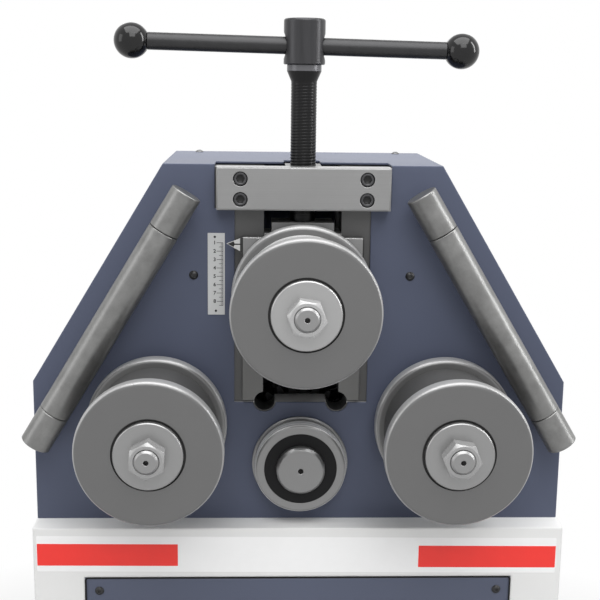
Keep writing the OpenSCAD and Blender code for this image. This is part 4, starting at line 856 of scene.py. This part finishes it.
class RINGROLLER_OT_scale(bpy.types.Operator):
    """Add the scale's lines, numbers and rivets, and the pointer's arrow"""
    bl_idname = "ringroller.scale"
    bl_label = "Scale and pointer"

    def execute(self, context):
        ink = printed("scale_ink", linear(20, 20, 21), 0.6)
        corner = 0.08
        outlines = []
        for i in range(76):
            h = FIRST_LINE - i
            long = 7.5 if i % 10 == 0 else 4.6 if i % 5 == 0 else 2.6
            wide = 0.6 if i % 5 == 0 else 0.3
            outlines.append(rounded_bar(LINE_END - long, LINE_END, h - wide / 2, h + wide / 2,
                                        corner, 2))
        outlines.append(rounded_bar(LINE_END - 0.2, LINE_END + 0.2, 267.2, 342.5, corner, 2))
        marks = [tile(outline, PLATE_F - 0.02, PLATE_F + 0.06, 0.02) for outline in outlines]
        piece("scale_marks", *joined(marks), ink, "machine", "plate_white")
        # The font's size over its digits' height, and in metres half a digit's thickness
        # and how much wider its strokes are drawn
        font_share, half, bolder = 1.42, 0.00005, 0.00018
        for number in range(8):
            curve = bpy.data.curves.new("digit", "FONT")
            curve.body = str(number + 1)
            curve.size = context.scene.ringroller_sizes.digit_height * font_share
            curve.align_x, curve.align_y = "CENTER", "CENTER"
            curve.extrude, curve.offset = half, bolder
            text = bpy.data.objects.new("digit", curve)
            mesh = bpy.data.meshes.new_from_object(text)
            bpy.data.objects.remove(text)
            bpy.data.curves.remove(curve)
            mesh.name = f"scale_digit_{number + 1}"
            place = Vector(at(-103.2, FIRST_LINE - 10 * number, PLATE_F + 0.03))
            mesh.transform(Matrix.Translation(place) @ Matrix.Rotation(math.pi / 2, 4, "X"))
            mesh.materials.clear()
            mesh.materials.append(ink)
            digit = bpy.data.objects.new(mesh.name, mesh)
            context.scene.collection.objects.link(digit)
            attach(digit, "machine")
        # Rivets: low domes, their rings given by radius and height
        turn = np.linspace(0, 2 * math.pi, 24, endpoint=False)
        for k, (x, h) in enumerate(((-103.0, 349.3), (-101.8, 260.9))):
            r = np.array([1.4, 1.4, 1.1, 0.7, 0.3])[:, None]
            f = PLATE_F + np.array([-0.05, 0.15, 0.5, 0.72, 0.8])[:, None]
            rings = at(x + r * np.cos(turn), h + r * np.sin(turn), f + 0 * turn)
            points, faces = ring_solid(rings, [at(x, h, PLATE_F - 0.05), at(x, h, PLATE_F + 0.82)])
            piece(f"scale_rivet_{k + 1}", points, faces, MATERIALS["oxide"], "machine",
                  "black_oxide")
        # The arrow lies on the pointer's front face: its point, its barbs and its shaft's end
        tip, end, face, half = -89.0, -71.6, 11.8, 0.75
        h, barb = FIRST_LINE, tip + 7.6
        arrow = [(tip + 1.2, h + 0.5), (barb + 0.6, h - 3.2), (barb, h - half), (end, h - half),
                 (end, h + half), (barb, h + half), (barb + 0.6, h + 3.4)]
        points, faces = tile(arrow, face - 0.05, face + 0.1, 0.03)
        piece("pointer_arrow", points, faces, ink, "slide", "pointer_white")
        return {"FINISHED"}


class RINGROLLER_OT_stage(bpy.types.Operator):
    """Set the floor, lamps, world and camera"""
    bl_idname = "ringroller.stage"
    bl_label = "Stage"

    def execute(self, context):
        scene = context.scene
        floor = bpy.data.meshes.new("floor")
        half = 9.0
        floor.from_pydata([(-half, -half, 0), (half, -half, 0), (half, half, 0), (-half, half, 0)],
                          [], [(0, 1, 2, 3)])
        # The floor keeps the shadow near the machine and fades to the white background
        f = Finish("pale_floor")
        px, py, _ = f.axes()
        far = ((px * px + py * py) ** 0.5).clip(*FLOOR_FADE)
        rays = f.add("ShaderNodeLightPath", {}, {}, "Is Camera Ray").socket.node
        seen = Link(f, rays.outputs["Is Camera Ray"])
        for ray in ("Is Glossy Ray", "Is Transmission Ray"):
            seen = seen.math("MAXIMUM", Link(f, rays.outputs[ray]))
        soft = f.noise(3.0, 2.0)
        paint = f.add("ShaderNodeBsdfDiffuse", {}, {
            "Color": f.mix(soft, (0.60, 0.60, 0.60), (0.64, 0.64, 0.64))})
        white = f.add("ShaderNodeEmission", {}, {"Color": (1, 1, 1, 1), "Strength": 1.0})
        both = f.add("ShaderNodeMixShader", {}, {0: far * seen, 1: paint, 2: white})
        f.tree.links.new(both.socket, f.output.inputs["Surface"])
        floor.materials.append(f.material)
        ground = bpy.data.objects.new("floor", floor)
        scene.collection.objects.link(ground)

        for name, (place, aim, size, power) in LAMPS.items():
            lamp = bpy.data.lights.new(name, "AREA")
            lamp.shape, lamp.size, lamp.size_y = "RECTANGLE", size[0], size[1]
            lamp.energy = power
            obj = bpy.data.objects.new(name, lamp)
            obj.location = place
            obj.rotation_euler = (Vector(aim) - Vector(place)).to_track_quat("-Z", "Y").to_euler()
            scene.collection.objects.link(obj)

        world = bpy.data.worlds.new("studio")
        scene.world = world
        world.use_nodes = True
        tree = world.node_tree
        tree.nodes.clear()
        rays = tree.nodes.new("ShaderNodeLightPath")
        seen = tree.nodes.new("ShaderNodeMath")
        seen.operation = "MAXIMUM"
        tree.links.new(rays.outputs["Is Camera Ray"], seen.inputs[0])
        shiny = tree.nodes.new("ShaderNodeMath")
        shiny.operation = "MAXIMUM"
        tree.links.new(rays.outputs["Is Glossy Ray"], shiny.inputs[0])
        tree.links.new(rays.outputs["Is Transmission Ray"], shiny.inputs[1])
        tree.links.new(shiny.outputs[0], seen.inputs[1])
        level = tree.nodes.new("ShaderNodeMapRange")
        level.inputs["To Min"].default_value = WORLD_LIGHT
        level.inputs["To Max"].default_value = 1.0
        tree.links.new(seen.outputs[0], level.inputs["Value"])
        back = tree.nodes.new("ShaderNodeBackground")
        back.inputs["Color"].default_value = (1, 1, 1, 1)
        tree.links.new(level.outputs[0], back.inputs["Strength"])
        out = tree.nodes.new("ShaderNodeOutputWorld")
        tree.links.new(back.outputs[0], out.inputs["Surface"])

        cam = bpy.data.cameras.new("camera")
        cam.sensor_width = 36.0
        cam.lens = CAMERA_FOCUS * cam.sensor_width
        cam.clip_start, cam.clip_end = 0.02, 60.0
        obj = bpy.data.objects.new("camera", cam)
        yaw, pitch, roll = CAMERA_TURN
        ahead = Vector((math.sin(yaw) * math.cos(pitch), math.cos(yaw) * math.cos(pitch),
                        -math.sin(pitch)))
        right = Vector((math.cos(yaw), -math.sin(yaw), 0))
        up = right.cross(ahead)
        right, up = (math.cos(roll) * right + math.sin(roll) * up,
                     -math.sin(roll) * right + math.cos(roll) * up)
        turn = Matrix((right, up, -ahead)).transposed().to_4x4()
        obj.matrix_world = Matrix.Translation(Vector(at(*CAMERA_PLACE))) @ turn
        scene.collection.objects.link(obj)
        scene.camera = obj
        scene.view_settings.view_transform = "Standard"
        return {"FINISHED"}


class RINGROLLER_PT_panel(bpy.types.Panel):
    """Sizes, colours and pieces of the ring roller"""
    bl_idname = "RINGROLLER_PT_panel"
    bl_label = "Ring roller"
    bl_space_type = "VIEW_3D"
    bl_region_type = "UI"
    bl_category = "Ring roller"

    def draw(self, context):
        for group in (context.scene.ringroller_sizes, context.scene.ringroller_colours):
            for key in group.__annotations__:
                self.layout.prop(group, key)
        for operator in OPERATORS:
            self.layout.operator(operator.bl_idname)


OPERATORS = (RINGROLLER_OT_finishes, RINGROLLER_OT_screw, RINGROLLER_OT_bar_screws,
             RINGROLLER_OT_stripes, RINGROLLER_OT_panel_trim, RINGROLLER_OT_scale,
             RINGROLLER_OT_stage)
CLASSES = (RingRollerSizes, RingRollerColours, *OPERATORS, RINGROLLER_PT_panel)


def register():
    for cls in CLASSES:
        bpy.utils.register_class(cls)
    bpy.types.Scene.ringroller_sizes = bpy.props.PointerProperty(type=RingRollerSizes)
    bpy.types.Scene.ringroller_colours = bpy.props.PointerProperty(type=RingRollerColours)


def unregister():
    del bpy.types.Scene.ringroller_colours
    del bpy.types.Scene.ringroller_sizes
    for cls in reversed(CLASSES):
        bpy.utils.unregister_class(cls)


def main():
    register()
    for operator in OPERATORS:
        getattr(bpy.ops.ringroller, operator.bl_idname.split(".")[1])()


if __name__ == "__main__":
    main()
